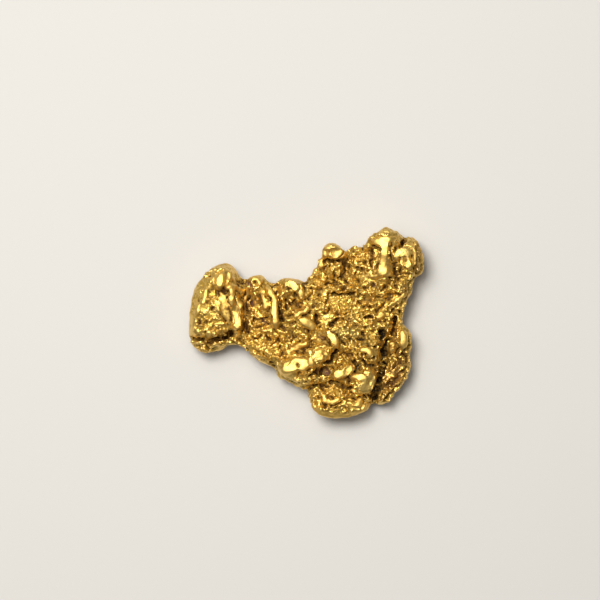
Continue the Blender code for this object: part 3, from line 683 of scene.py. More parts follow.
# %% Cut marks on the foot
crease(0.2, 0.45, [(0.75, -5.78), (1.1, -5.75), (1.5, -5.9), (1.65, -6.05)],
       [(2.3, -5.55), (2.42, -5.35), (2.7, -5.45), (3.15, -5.5)])
crease(0.18, 0.3, [(1.82, -7.65), (1.85, -7.85)])
crease(0.18, 0.28, [(2.7, -7.9), (2.95, -7.8)])
crease(0.18, 0.2, [(5.45, -6.75), (5.9, -6.55)])
crease(0.17, 0.3, [(3.6, -6.48), (3.9, -6.4)])
crease(0.17, 0.24, [(3.7, -7.05), (4.1, -6.85), (4.7, -6.9), (5.1, -6.85)])
crease(0.16, 0.3, [(1.65, -5.78), (2.1, -5.74), (2.35, -5.8)])
crease(0.16, 0.24, [(1.3, -6.9), (1.2, -6.7), (0.95, -6.4)],
       [(1.65, -6.9), (1.6, -7.3), (2.0, -7.6), (2.5, -7.55), (3.0, -7.5), (3.4, -7.25)],
       [(1.85, -6.45), (1.75, -6.2), (1.6, -6.05)], [(2.45, -6.4), (2.55, -6.1), (2.7, -6.0)])
crease(0.16, 0.14, [(0.85, -7.75), (1.4, -8.2), (2.5, -8.42), (3.8, -8.52), (4.8, -8.38), (5.5, -7.95),
       (5.95, -7.35)])
crease(0.15, 0.22, [(2.0, -6.8), (2.4, -6.7), (2.65, -6.9)], [(3.8, -7.8), (3.9, -8.15), (4.2, -8.35)])
crease(0.15, 0.2, [(4.0, -7.15), (4.5, -7.2)], [(5.5, -7.1), (5.45, -7.6), (5.2, -8.0)],
       [(2.9, -6.2), (3.2, -6.3)], [(3.1, -6.6), (3.4, -6.7)])
crease(0.15, 0.18, [(0.6, -6.4), (0.8, -6.2)])
crease(0.14, 0.18, [(3.3, -7.75), (3.6, -8.15)])
crease(0.13, 0.2, [(5.75, -7.25), (5.9, -7.4)])
count_marks()

# %% Shine and dirt on the foot
rub((4.8, -7.8, 0.6, 0.35, 20, 0.7), (4.3, -7.45, 0.7, 0.18, 5, 0.8), (3.4, -8.55, 2.2, 0.22, 0, 0.9))
stain_and_shade("orange", (3.6, -7.1, 1.3, 0.4, 5, 0.7), (0.9, -7.2, 0.4, 0.6, 0, 0.7), (3.0, -7.5, 0.6, 0.16, 20))
count_marks()

# %% [markdown]
# ## The flap
#
# A thin sheet was folded up along the right side and beaten nearly against the body. The crack behind it
# is deep, and it is painted black as painted shade. Its edge shows as thin leaves, and its lower half is
# dull brown, with slanting folds.

# %% Raised marks on the flap
polish(0.3, 0.34, (9.05, -0.9), (9.18, -1.35), (9.15, -1.9))  # the swelling on the outer edge
polish(0.24, 0.22, (6.9, 0.6), (7.2, 0.95))  # a spot above the crack
ridge(0.32, 0.22, [(8.15, -1.95), (8.2, -2.3)])
ridge(0.26, 0.16, [(7.8, -2.2), (7.95, -2.55)])
ridge(0.24, 0.28, [(8.2, -5.9), (7.75, -6.15), (7.4, -6.5), (7.1, -7.0)])
ridge(0.2, 0.26, [(8.85, -5.1), (8.6, -5.6)])
ridge(0.2, 0.22, [(9.6, -4.32), (9.2, -4.55), (8.9, -5.05)])
ridge(0.2, 0.2, [(7.8, -3.1), (8.0, -3.1)], [(9.4, -4.9), (9.0, -5.4)])
ridge(0.2, 0.18, [(7.2, -0.12), (7.5, -0.12)])
ridge(0.18, 0.24, [(8.85, -5.8), (8.2, -6.5), (7.5, -7.15)])
ridge(0.18, 0.2, [(9.15, -2.1), (8.85, -2.55), (8.55, -2.95)])
ridge(0.16, 0.18, [(7.25, -5.35), (7.15, -5.55)])
ridge(0.15, 0.18, [(9.0, 0.3), (8.85, -0.1), (9.15, -0.45)], [(9.15, -3.0), (9.2, -3.6)],
      [(8.05, -4.0), (8.0, -4.35)])
ridge(0.14, 0.18, [(8.6, 0.1), (8.62, -0.4), (8.5, -0.75)], [(9.55, -2.9), (9.65, -3.6)])
ridge(0.14, 0.16, [(9.6, -0.6), (9.85, -1.5), (9.85, -2.2), (9.55, -2.6)],
      [(7.6, -4.4), (7.4, -4.9), (7.2, -5.5), (6.7, -5.95), (6.45, -6.35)])
ridge(0.13, 0.16, [(7.65, -2.1), (7.75, -1.8), (8.05, -1.6)])
bead(0.26, 0.24, (8.05, -1.25))
bead(0.22, 0.2, (7.85, -0.7))
bead(0.18, 0.18, (7.35, -6.5))
bead(0.18, 0.16, (7.8, 0.3))
bead(0.17, 0.2, (8.52, -1.65))
bead(0.17, 0.14, (7.6, -0.35))
bead(0.16, 0.18, (8.52, -3.8))
bead(0.16, 0.14, (8.15, 0.1), (8.1, -0.3), (7.8, 0.8), (8.15, 0.7))
bead(0.15, 0.18, (9.15, -3.7))
bead(0.15, 0.14, (9.8, -4.25))
count_marks()

# %% Cut marks on the flap
crease(0.34, 0.7, [(7.2, -2.2), (7.35, -2.9), (7.35, -3.6), (7.25, -4.3), (7.0, -4.9), (6.8, -5.6),
       (6.45, -6.2)])
crease(0.28, 0.55, [(7.15, -0.75), (7.18, -1.4), (7.22, -2.2)])
crease(0.26, 0.6, [(6.45, -6.2), (6.2, -6.6), (5.75, -6.75)])
crease(0.24, 0.6, [(6.55, -6.75), (6.5, -7.6)])
crease(0.22, 0.46, [(8.2, -5.6), (8.55, -5.1), (8.8, -4.8)])
crease(0.2, 0.42, [(8.6, -4.8), (9.0, -4.45), (9.5, -4.15)],
       [(6.95, -6.1), (7.4, -5.8), (7.75, -5.55), (8.2, -5.3)])
crease(0.2, 0.4, [(7.55, -1.5), (7.5, -2.2)])
crease(0.18, 0.4, [(7.7, -6.55), (8.3, -6.1), (8.75, -5.55), (9.0, -5.25)])
crease(0.18, 0.38, [(8.5, -3.15), (8.85, -3.3), (8.9, -3.7)])
crease(0.18, 0.36, [(8.5, 0.6), (8.45, 0.35)], [(8.4, -3.6), (8.2, -4.0), (7.75, -4.45)])
crease(0.17, 0.36, [(8.38, 0.2), (8.35, -0.3), (8.12, -0.8)],
       [(8.4, -0.95), (8.38, -1.6), (8.65, -2.1), (8.55, -2.6), (8.35, -3.0)])
crease(0.17, 0.34, [(7.8, -3.6), (7.72, -4.1)])
crease(0.16, 0.34, [(9.05, -5.0), (9.4, -4.6)], [(7.25, -7.2), (7.8, -6.75), (8.3, -6.35)])
crease(0.16, 0.3, [(8.7, -1.2), (8.72, -1.9)], [(7.05, -6.45), (7.3, -6.25), (7.6, -6.3)])
crease(0.16, 0.24, [(7.7, 0.35), (7.3, 0.2), (6.9, 0.25)], [(7.6, -0.2), (7.95, -0.2)])
crease(0.15, 0.3, [(8.75, 1.3), (8.88, 0.9)])
crease(0.15, 0.26, [(6.95, -6.95), (7.1, -6.6)])
crease(0.15, 0.24, [(8.65, 0.1), (8.75, -0.4), (8.8, -0.9)],
       [(9.3, -2.35), (9.0, -2.7), (9.35, -3.0), (9.4, -3.5)], [(7.8, -0.55), (8.0, -0.9)])
crease(0.15, 0.22, [(8.9, -0.1), (9.1, -0.55)])
crease(0.14, 0.24, [(7.75, -1.6), (8.0, -1.45)])
crease(0.14, 0.22, [(9.6, -1.0), (9.72, -1.7), (9.55, -2.3)])
crease(0.14, 0.18, [(7.8, -2.9), (8.2, -2.85)])
count_marks()

# %% Shine, dirt and painted shade on the flap
rub((9.15, -1.4, 0.75, 0.36, 90), (8.05, -2.35, 0.6, 0.36, 90), (8.0, -4.85, 0.75, 0.45, 50, 0.7))
stain_and_shade("umber", (8.2, -4.9, 1.9, 0.85, 55, 0.9), (7.6, -5.6, 0.8, 0.4, 45, 0.7),
      (9.0, -3.1, 0.8, 0.9, 0, 0.7), (8.4, -0.9, 0.25, 1.5, 0, 0.6))
stain_and_shade("plum", (8.3, -4.9, 1.7, 0.75, 55, 0.45))
# The black along the crack and the slit is painted shade.
stain_and_shade("black_dirt_and_shade", (7.05, -4.3, 0.52, 1.8, -5, 1.0), (6.55, -6.1, 0.7, 0.36, 50, 1.0),
      (6.5, -6.95, 0.22, 0.6, 0, 1.0))
count_marks()

# %% [markdown]
# ## The arm, the small knob and the crown
#
# The arm is grainy, and ends in the crown, where the metal was hammered smooth: a bright plate shaped
# like a T, a round cheek beside it, and thin leaves folded over each other along the outer edge.

# %% Raised marks on the small knob, the step and the shelf
polish(0.2, 0.2, (2.1, 7.1), (1.82, 6.75), (1.8, 6.3))  # the left rim of the knob
polish(0.44, 0.24, (2.9, 6.62), (3.42, 6.52))  # the top of the knob
polish(0.18, 0.26, (1.48, 5.95), (1.46, 5.65), (1.5, 5.4))  # the fold below the knob
ridge(0.24, 0.24, [(5.65, 7.15), (6.0, 7.25)])
ridge(0.2, 0.14, [(5.3, 6.6), (5.8, 6.7)])
ridge(0.18, 0.22, [(3.3, 5.6), (3.1, 5.3), (3.3, 5.0), (3.05, 4.65)])
ridge(0.18, 0.2, [(0.95, 4.48), (1.25, 4.62)], [(4.55, 4.4), (4.75, 4.3)])
ridge(0.17, 0.2, [(2.55, 5.1), (2.45, 4.6), (2.5, 4.2)], [(4.1, 3.8), (4.65, 3.85), (5.1, 3.7)],
      [(4.7, 6.8), (5.05, 6.9), (5.2, 7.15)])
ridge(0.17, 0.16, [(1.15, 3.65), (1.4, 3.6)])
ridge(0.16, 0.18, [(1.8, 3.4), (1.95, 3.5)])
ridge(0.16, 0.16, [(0.4, 4.2), (0.7, 4.35), (0.8, 4.7), (1.2, 5.15)])
ridge(0.15, 0.2, [(4.45, 6.1), (4.4, 5.9)])
ridge(0.15, 0.18, [(2.1, 5.85), (2.15, 5.5), (1.95, 5.1)], [(4.15, 6.8), (4.15, 6.6)])
ridge(0.15, 0.16, [(4.05, 7.12), (4.8, 7.12)], [(4.65, 5.5), (5.4, 5.45), (5.8, 5.3)],
      [(5.8, 5.9), (6.05, 5.4), (6.2, 4.95)], [(5.1, 5.0), (5.0, 4.6)])
ridge(0.15, 0.14, [(1.5, 4.2), (2.0, 4.15), (2.5, 4.0)])
bead(0.2, 0.2, (4.05, 4.2))
bead(0.2, 0.14, (0.25, 4.25))
bead(0.18, 0.2, (1.92, 5.05), (5.55, 5.3))
bead(0.18, 0.18, (4.9, 5.95))
bead(0.18, 0.16, (2.8, 5.35), (5.65, 4.9))
bead(0.18, 0.14, (1.3, 3.6), (0.65, 3.85))
bead(0.17, 0.16, (5.15, 6.3), (4.0, 5.75))
bead(0.17, 0.14, (2.0, 5.9), (3.85, 5.2))
bead(0.16, 0.18, (2.4, 5.75))
bead(0.16, 0.14, (3.05, 5.75), (2.95, 4.2), (5.45, 6.0), (5.25, 4.85), (5.5, 6.3))
bead(0.15, 0.14, (3.6, 6.15))
count_marks()

# %% Cut marks on the small knob, the step and the shelf
crease(0.2, 0.46, [(1.35, 5.2), (1.8, 5.25), (1.95, 5.5)], [(3.5, 5.7), (3.75, 5.6), (3.7, 5.1)])
crease(0.2, 0.36, [(2.05, 5.95), (2.6, 5.93), (3.3, 5.98), (3.6, 6.1)])
crease(0.18, 0.36, [(4.72, 5.15), (4.65, 4.7)])
crease(0.18, 0.3, [(3.7, 5.1), (3.55, 4.75), (3.35, 4.4)])
crease(0.18, 0.2, [(2.2, 6.9), (2.1, 6.4), (2.2, 6.1)])
crease(0.17, 0.3, [(4.2, 6.35), (4.5, 6.4), (4.6, 6.2)],
       [(4.75, 6.65), (5.15, 6.7), (5.4, 6.85), (6.1, 6.9), (6.4, 6.8)])
crease(0.17, 0.26, [(2.75, 4.85), (2.75, 4.4)])
crease(0.16, 0.26, [(2.3, 5.5), (2.35, 5.0), (2.15, 4.6), (2.1, 4.2)],
       [(3.4, 4.2), (3.9, 3.95), (4.3, 3.6), (4.8, 3.3)], [(4.4, 4.05), (4.85, 4.1), (4.92, 3.85)],
       [(5.35, 7.25), (5.4, 7.0)])
crease(0.16, 0.22, [(0.9, 4.3), (1.15, 4.3), (1.4, 4.5)], [(5.1, 5.75), (5.6, 5.75)])
crease(0.16, 0.2, [(2.45, 7.0), (2.65, 6.85), (2.45, 6.6), (2.3, 6.35)],
       [(5.2, 5.1), (5.5, 5.1), (5.9, 5.05)])
crease(0.15, 0.26, [(1.7, 3.6), (1.9, 3.8), (2.4, 3.85)])
crease(0.15, 0.22, [(1.75, 5.0), (1.85, 4.65)], [(4.15, 5.6), (4.15, 5.2)])
crease(0.15, 0.2, [(4.1, 4.6), (3.95, 4.9)])
pit(0.22, 0.3, (3.75, 5.68), (3.9, 6.9))
pit(0.18, 0.3, (4.45, 6.8))
pit(0.18, 0.24, (4.2, 3.6))
pit(0.16, 0.24, (3.12, 5.1))
pit(0.16, 0.2, (2.8, 3.98))
pit(0.15, 0.2, (3.32, 5.32))
count_marks()

# %% Shine and dirt on the small knob, the step and the shelf
facet(3.05, 6.6, 0.7, 0.42, -12, 0.06)  # the top of the knob
facet(1.95, 6.65, 0.34, 0.3, 80, 0.05)  # the left rim of the knob
rub((2.75, 6.65, 1.2, 0.62, -5), (1.9, 6.7, 0.55, 0.28, 80, 0.8), (5.6, 4.5, 0.6, 0.26, 25, 0.8),
    (1.6, 4.0, 0.6, 0.25, 10, 0.5))
stain_and_shade("umber", (3.75, 5.6, 0.3, 0.6, 0, 0.9), (1.65, 5.3, 0.4, 0.22), (3.6, 4.6, 0.45, 0.35, -30, 0.7))
stain_and_shade("plum", (5.6, 4.55, 0.6, 0.28, 30, 0.6))
stain_and_shade("orange", (1.4, 4.1, 0.7, 0.4, 0, 0.8), (4.2, 6.2, 0.35, 0.35, 0, 0.6))
count_marks()

# %% Raised marks on the crown and the cheek
polish(0.3, 0.34, (6.72, 7.68), (7.15, 7.62), (7.45, 7.78))  # the left arm of the T
polish(0.24, 0.32, (7.3, 7.88), (7.95, 7.95), (8.25, 7.9))  # the right arm of the T
polish(0.28, 0.36, (7.45, 7.6), (7.42, 7.0), (7.32, 6.45), (7.28, 5.9))  # the stem of the T
polish(0.16, 0.3, (8.2, 8.0), (8.28, 7.42))  # the end of the right arm
polish(0.18, 0.24, (6.28, 4.46), (6.58, 4.46))  # a spot left of the foot of the T
polish(0.11, 0.24, (10.05, 7.35), (10.25, 6.7), (10.28, 5.75))  # the inner leaf on the edge
# The outer leaf on the edge.
polish(0.12, 0.26, (10.15, 7.95), (10.55, 7.4), (10.8, 6.75), (10.93, 5.95), (10.93, 5.15), (10.6, 4.5),
       (10.25, 4.12))
polish(0.2, 0.28, (9.55, 5.42), (9.7, 5.3))  # a bead below the cheek
ridge(0.42, 0.16, [(8.8, 6.75), (9.3, 6.8)])
ridge(0.26, 0.22, [(9.6, 8.0), (9.72, 7.78)])
ridge(0.26, 0.14, [(7.2, 8.55), (7.7, 8.75), (8.2, 8.6)])
ridge(0.22, 0.22, [(7.8, 6.1), (7.85, 5.95)])
ridge(0.22, 0.14, [(8.65, 6.85), (8.65, 6.6)])
ridge(0.2, 0.14, [(6.2, 8.1), (6.6, 8.3), (7.0, 8.35)], [(8.5, 8.55), (8.85, 8.3), (9.0, 7.95)])
ridge(0.16, 0.18, [(8.1, 7.1), (8.2, 6.6), (8.45, 6.3), (8.5, 5.9)])
ridge(0.16, 0.16, [(6.95, 6.8), (7.0, 6.4)])
ridge(0.15, 0.2, [(6.65, 6.6), (6.6, 6.2), (6.35, 5.8), (6.4, 5.2)],
      [(9.1, 4.85), (9.5, 4.95), (9.95, 4.8), (9.85, 4.45), (9.5, 4.15)])
ridge(0.15, 0.18, [(7.85, 6.85), (7.85, 6.6)], [(6.6, 6.95), (6.6, 6.8)])
ridge(0.14, 0.16, [(10.0, 7.95), (10.05, 7.75)])
ridge(0.13, 0.2, [(10.5, 5.6), (10.55, 5.2), (10.42, 4.85)])
ridge(0.13, 0.16, [(8.9, 5.9), (9.2, 5.5), (9.2, 5.2)], [(8.65, 5.2), (8.6, 5.0)])
ridge(0.13, 0.14, [(9.7, 5.9), (9.9, 5.6), (10.3, 5.65), (10.5, 5.7)])
ridge(0.12, 0.16, [(8.3, 5.3), (8.6, 5.6), (8.85, 5.7)])
bead(0.26, 0.22, (9.42, 4.45))
bead(0.22, 0.22, (8.75, 3.38))
bead(0.2, 0.2, (9.1, 3.75))
bead(0.17, 0.1, (9.75, 6.2))
bead(0.15, 0.16, (10.75, 6.85), (10.88, 6.45))
bead(0.15, 0.14, (6.1, 6.9))
count_marks()

# %% Cut marks on the crown and the cheek
crease(0.24, 0.55, [(9.35, 8.05), (9.15, 7.6), (8.95, 7.3)])
crease(0.18, 0.44, [(8.45, 4.3), (8.7, 4.15), (8.6, 3.95)])
crease(0.18, 0.4, [(8.35, 5.2), (8.5, 4.85), (8.6, 4.6)])
crease(0.18, 0.34, [(6.45, 7.3), (6.85, 7.15), (7.1, 6.9)], [(8.8, 6.1), (8.75, 5.8)])
crease(0.18, 0.3, [(8.95, 7.2), (8.6, 7.15), (8.42, 6.9)])
crease(0.17, 0.34, [(8.15, 5.6), (8.4, 5.5), (8.55, 5.7)])
crease(0.17, 0.3, [(7.12, 6.7), (7.05, 6.0), (6.75, 5.7), (6.62, 5.2), (6.65, 4.75)],
       [(6.2, 6.7), (6.25, 6.2), (6.15, 5.7), (6.2, 5.4)])
crease(0.17, 0.28, [(8.0, 7.2), (7.95, 6.7), (8.05, 6.2), (8.2, 5.9)])
crease(0.17, 0.24, [(6.8, 4.3), (7.3, 4.25), (7.9, 4.25), (8.1, 4.4)])
crease(0.16, 0.4, [(10.2, 7.6), (10.45, 7.3), (10.5, 6.6), (10.42, 5.9)])
crease(0.16, 0.34, [(9.1, 7.35), (9.55, 7.35), (9.95, 7.1), (10.05, 6.6), (10.0, 6.0)])
crease(0.15, 0.34, [(10.72, 6.6), (10.78, 6.0), (10.75, 5.3), (10.55, 4.7), (10.2, 4.3)])
crease(0.15, 0.26, [(8.8, 5.1), (8.85, 4.6)])
crease(0.15, 0.24, [(7.6, 7.1), (7.6, 6.5), (7.5, 6.15)], [(6.6, 4.65), (6.45, 4.75)],
       [(9.95, 5.75), (10.0, 5.6)])
crease(0.15, 0.2, [(9.2, 4.7), (9.45, 4.75), (9.7, 4.6)])
crease(0.15, 0.18, [(6.4, 8.0), (7.0, 8.1), (7.6, 8.2), (8.0, 8.2)],
       [(7.9, 8.3), (8.3, 8.4), (8.7, 8.1), (8.8, 7.6)])
crease(0.14, 0.24, [(8.12, 7.62), (8.14, 7.36), (8.5, 7.3), (8.66, 7.46)],
       [(10.3, 5.5), (10.25, 5.0), (10.4, 4.7)])
crease(0.14, 0.22, [(9.3, 6.3), (9.35, 5.9)])
crease(0.13, 0.12, [(7.28, 7.55), (7.3, 7.25)])
count_marks()

# %% Shine, dirt and painted shade on the crown and the cheek
facet(7.05, 7.78, 0.68, 0.36, 8, 0.1)  # the left arm of the T
facet(7.95, 7.84, 0.6, 0.32, 5, 0.35, facing=(0.06, 0.02, 1.0))  # the right arm of the T
facet(7.35, 6.42, 0.85, 0.27, 93, 0.05, facing=(-0.04, 0.08, 1.0))  # the stem of the T
facet(7.26, 5.15, 0.98, 0.74, 90, 0.75, facing=(-0.03, 0.08, 1.0), rim_lean=0.16)  # the broad foot of the T
facet(8.48, 7.7, 0.55, 0.4, 95, 0.4, facing=(0.04, 0.05, 1.0), rim_lean=0.26)  # the petal above the cheek
facet(9.12, 6.48, 0.95, 0.82, -20, 0.15, facing=(0.06, 0.04, 1.0), rim_lean=0.42)  # the cheek
rub((7.0, 7.65, 0.6, 0.35, 10), (7.35, 6.8, 0.8, 0.26, 90), (7.2, 5.2, 0.75, 0.48, 90),
    (7.8, 4.85, 0.45, 0.35, 0, 0.8), (9.15, 6.55, 0.9, 0.8, 0), (7.8, 8.6, 1.1, 0.3, 0, 0.8),
    (7.9, 8.0, 0.5, 0.25, 0, 0.8), (9.9, 7.3, 0.5, 0.5, 0, 0.7), (6.15, 6.2, 0.6, 0.2, 90, 0.7))
stain_and_shade("umber", (9.15, 7.65, 0.25, 0.35), (8.3, 5.45, 0.3, 0.25), (8.5, 4.5, 0.25, 0.7),
      (6.2, 6.2, 0.22, 0.6, 0, 0.8), (10.4, 5.3, 0.2, 0.6, 0, 0.9), (10.55, 6.2, 0.4, 1.7, 0, 0.7))
stain_and_shade("orange", (6.95, 6.4, 0.22, 0.5, 0, 0.8), (9.4, 4.5, 0.4, 0.35, 0, 0.6))
# The olive is partly a tone of the metal and partly painted shade, where the skin leans away from the lamp.
stain_and_shade("olive", (9.5, 6.8, 0.8, 0.5, 0, 0.9), (7.8, 8.5, 1.0, 0.35, 0, 0.7))
count_marks()

# %% Raised marks on the wrist
polish(0.17, 0.18, (9.45, 2.78), (8.95, 2.48), (8.55, 2.2))  # the bar across the wrist
ridge(0.18, 0.2, [(6.85, 3.4), (6.9, 3.1)])
ridge(0.16, 0.18, [(6.2, 3.0), (6.6, 2.8), (7.2, 3.0)], [(8.6, 3.1), (9.0, 2.95)])
ridge(0.15, 0.18, [(7.05, 3.7), (7.6, 3.8), (8.0, 3.4)], [(6.7, 3.6), (6.65, 3.8)])
ridge(0.15, 0.16, [(8.15, 1.95), (7.75, 1.62), (7.55, 1.3)])
ridge(0.14, 0.2, [(9.95, 4.0), (10.02, 3.5), (9.9, 3.0)])
ridge(0.14, 0.18, [(8.7, 1.9), (8.75, 1.3)], [(9.3, 2.0), (9.1, 1.3), (9.0, 0.6)])
bead(0.22, 0.22, (7.55, 3.1))
bead(0.22, 0.2, (7.25, 2.8))
bead(0.2, 0.18, (7.9, 3.35))
bead(0.18, 0.18, (8.6, 2.7))
bead(0.18, 0.14, (7.0, 1.8), (8.0, 1.2))
bead(0.17, 0.14, (7.6, 2.2))
bead(0.16, 0.14, (6.4, 2.3), (8.3, 1.55))
count_marks()

# %% Cut marks on the wrist
crease(0.2, 0.4, [(8.45, 3.6), (8.55, 3.35)])
crease(0.18, 0.3, [(7.8, 2.6), (8.3, 2.8), (8.9, 2.8), (9.5, 3.05)])
crease(0.16, 0.3, [(9.5, 2.5), (9.0, 2.1), (8.4, 1.5), (7.9, 0.95)])
crease(0.16, 0.26, [(6.4, 3.7), (6.3, 3.5)])
crease(0.16, 0.24, [(7.6, 3.6), (7.4, 3.4), (7.1, 3.1), (6.85, 2.9)],
       [(6.2, 2.75), (6.6, 2.5), (7.1, 2.45)])
crease(0.15, 0.26, [(8.9, 2.0), (8.95, 1.5)])
crease(0.15, 0.24, [(7.3, 1.8), (6.9, 1.5), (6.6, 1.15)])
crease(0.14, 0.3, [(9.75, 3.9), (9.72, 3.4), (9.68, 3.1)])
count_marks()

# %% Shine and dirt on the wrist
rub((9.4, 3.4, 0.6, 0.22, 80, 0.8), (8.6, 2.3, 0.9, 0.18, 38))
stain_and_shade("umber", (9.35, 3.3, 0.25, 0.6, 0, 0.9), (8.5, 3.5, 0.22, 0.3))
stain_and_shade("plum", (6.7, 3.4, 0.5, 0.3, 0, 0.6))
stain_and_shade("orange", (8.1, 2.9, 0.5, 0.25, 0, 0.8))
count_marks()

# %% [markdown]
# ## Zones of grain
#
# Between the marks the skin has a grain, and the grain changes from place to place: upright in the
# squeezed neck, slanting on the flap, beaded in the sheltered middle and calm where it was rubbed. Each
# zone is a soft-edged ellipse that names its grain.

# %% The zones of the grain
zones = []


def zone(kind, *patches):
    zones.extend((kind, *patch(*numbers)) for numbers in patches)


zone("upright", (-3.8, 2.2, 1.9, 1.9), (-1.6, 1.6, 0.8, 1.6))
zone("slanting", (-4.2, -1.8, 2.4, 1.0, -25), (8.6, -4.5, 2.6, 1.3, 60), (8.8, 2.6, 1.3, 0.8, 40))
zone("beaded", (2.6, 1.4, 2.6, 2.2), (5.2, 0.2, 2.4, 1.6), (4.8, -2.6, 2.2, 1.6), (2.6, -6.8, 2.2, 1.3),
     (3.5, 5.0, 2.4, 1.6, 20))
zone("calm", (-8.4, 2.6, 2.4, 2.6, 0, 0.6), (-0.6, -3.8, 2.8, 1.3, 10, 0.75),
     (7.6, 6.6, 1.7, 2.2, 0, 0.8), (9.4, 6.9, 1.3, 1.2, 0, 0.8), (5.6, -5.4, 1.3, 1.2, 0, 0.7),
     (2.7, 6.6, 1.0, 0.9, 0, 0.7), (3.3, -8.4, 2.8, 0.5, 0, 0.7), (-1.2, -5.4, 2.0, 0.6, -20, 0.7))
print("zones:", len(zones))

# %% [markdown]
# ## Noise that wears a shape
#
# Smooth noise, folded at zero, gives rounded lumps with sharp creases between them, which is how crumpled
# gold looks. Stretching the points before they reach the noise turns lumps into folds. A cell pattern
# gives pebbles when its borders are sunk, and shards when every cell gets a tilt of its own. Letting the
# points wander first keeps all of them from looking like a pattern.

# %% Helpers that turn noise into grain
PEBBLE_BORDER = 0.55
CELL_STEP = 7.0
SHARD_TILT = 2.0
SHARD_STEP = 0.6
HALF = Vector((0.5, 0.5, 0.5))


def soft_noise(points, wavelength, seed):
    shift = Vector((seed, 2.7 * seed, -1.3 * seed))
    return np.array([noise.noise(Vector(point) / wavelength + shift) for point in points])


def wander(points, wavelength, amount, seed):
    shift = Vector((seed, 3.1 * seed, -1.7 * seed))
    moved = [noise.noise_vector(Vector(point) / wavelength + shift) for point in points]
    return points + amount * np.array(moved)


def folded_noise(points, wavelengths, seed):
    scaled = points / np.array(wavelengths)
    shift = Vector((seed, -2.3 * seed, 1.9 * seed))
    return np.array([abs(noise.noise(Vector(point) + shift)) for point in scaled])


def pebbles(points, spacing, seed):
    shift = Vector((seed, 1.7 * seed, -0.6 * seed))
    rises = []
    for point in points:
        near, next_near = noise.voronoi(Vector(point) / spacing + shift)[0][:2]
        rises.append(min((next_near - near) / PEBBLE_BORDER, 1.0))
    return 1.0 - (1.0 - np.array(rises)) ** 2


def shards(points, spacing, seed):
    shift = Vector((seed, 1.4 * seed, 2.2 * seed))
    heights = []
    for point in points:
        here = Vector(point) / spacing + shift
        middle = noise.voronoi(here)[1][0]
        tilt = noise.cell_vector(CELL_STEP * middle) - HALF
        heights.append(SHARD_TILT * (here - middle).dot(tilt) + SHARD_STEP * tilt.z)
    return np.array(heights)


# %% [markdown]
# Patches, plates, stains and zones are all ellipses with soft edges. One function measures how far a
# point lies along and across a turned ellipse, and everything else is built on it.

# %% Helpers that measure ellipses
FADE_START = 0.50
FADE_END = 1.30


def smooth_step(values, start, end):
    share = np.clip((values - start) / (end - start), 0.0, 1.0)
    return share * share * (3.0 - 2.0 * share)


def turned_offsets(spots, x, y, turn):
    angle = math.radians(turn)
    away_x = spots[:, 0] - x
    away_y = spots[:, 1] - y
    along = away_x * math.cos(angle) + away_y * math.sin(angle)
    across = away_y * math.cos(angle) - away_x * math.sin(angle)
    return along, across


def inside_ellipse(spots, x, y, half_length, half_width, turn):
    along, across = turned_offsets(spots, x, y, turn)
    distance = np.hypot(along / half_length, across / half_width)
    return 1.0 - smooth_step(distance, FADE_START, FADE_END)


def combined_mask(spots, ellipses):
    mask = np.zeros(len(spots))
    for x, y, half_length, half_width, turn, strength in ellipses:
        mask = np.maximum(mask, strength * inside_ellipse(spots, x, y, half_length, half_width, turn))
    return mask


def named_mask(spots, entries, name):
    return combined_mask(spots, [entry[1:] for entry in entries if entry[0] == name])


# %% [markdown]
# ## Find each mark on the skin
#
# The marks are drawn flat, as an eye sees them that looks down from a little to one side. So each point
# of the skin is carried along its line of sight to the drawing's level. A small wander on the way makes
# the edges of the marks ragged, and a slower one serves the polished bars, whose edges are smooth.

# %% Carry the points to the drawing
DRAWING_LEVEL = 2.5
DRAWING_SHIFT = np.array((0.0345, 0.0659))
EYE_LEAN = np.array((0.070, -0.052))
EYE_HEIGHT = 260.0


def in_drawing(points):
    above = points[:, 2] - DRAWING_LEVEL
    flat = points[:, :2] - above[:, None] * EYE_LEAN
    return flat * (1.0 + above / EYE_HEIGHT)[:, None] + DRAWING_SHIFT


def ragged_spots(points):
    wobbled = wander(points, 0.55, 0.11, 2.0)
    return in_drawing(wander(wobbled, 0.24, 0.05, 2.5))


def smooth_edged_spots(points):
    return in_drawing(wander(points, 0.60, 0.09, 3.0))


# %% [markdown]
# Only the points near a path are measured against it, which keeps this quick. A ridge has a round
# section, like a bead of solder. A polished bar has a flat one with soft shoulders, and a crease is a
# narrow V. Where two marks of one kind cross, the higher one wins.

# %% Measure the strongest mark at every point
SEARCH_MARGIN = 1.4
BAR_TOP = 0.30
V_POWER = 1.4


def distance_to_path(spots, path):
    nearest = np.full(len(spots), np.inf)
    for start, end in zip(path[:-1], path[1:]):
        start = np.array(start)
        along = np.array(end) - start
        share = np.clip((spots - start) @ along / (along @ along), 0.0, 1.0)
        away = spots - start - share[:, None] * along
        nearest = np.minimum(nearest, np.hypot(away[:, 0], away[:, 1]))
    return nearest


def strongest_mark(spots, marks, section, swell):
    height = np.zeros(len(spots))
    for path, reach, size in marks:
        corners = np.array(path)
        low = corners.min(axis=0) - SEARCH_MARGIN * reach
        high = corners.max(axis=0) + SEARCH_MARGIN * reach
        near = np.flatnonzero(np.all((spots > low) & (spots < high), axis=1))
        share = np.clip(distance_to_path(spots[near], path) / (reach * swell[near]), 0.0, 1.0)
        height[near] = np.maximum(height[near], size * section(share))
    return height


def round_section(share):
    return 1.0 - share ** 2


def flat_section(share):
    return 1.0 - smooth_step(share, BAR_TOP, 1.0)


def v_section(share):
    return (1.0 - share) ** V_POWER


print("half way out, a ridge keeps", round_section(0.5), "of its height")

# %% List what shines
PLATE_SPREAD = 1.2

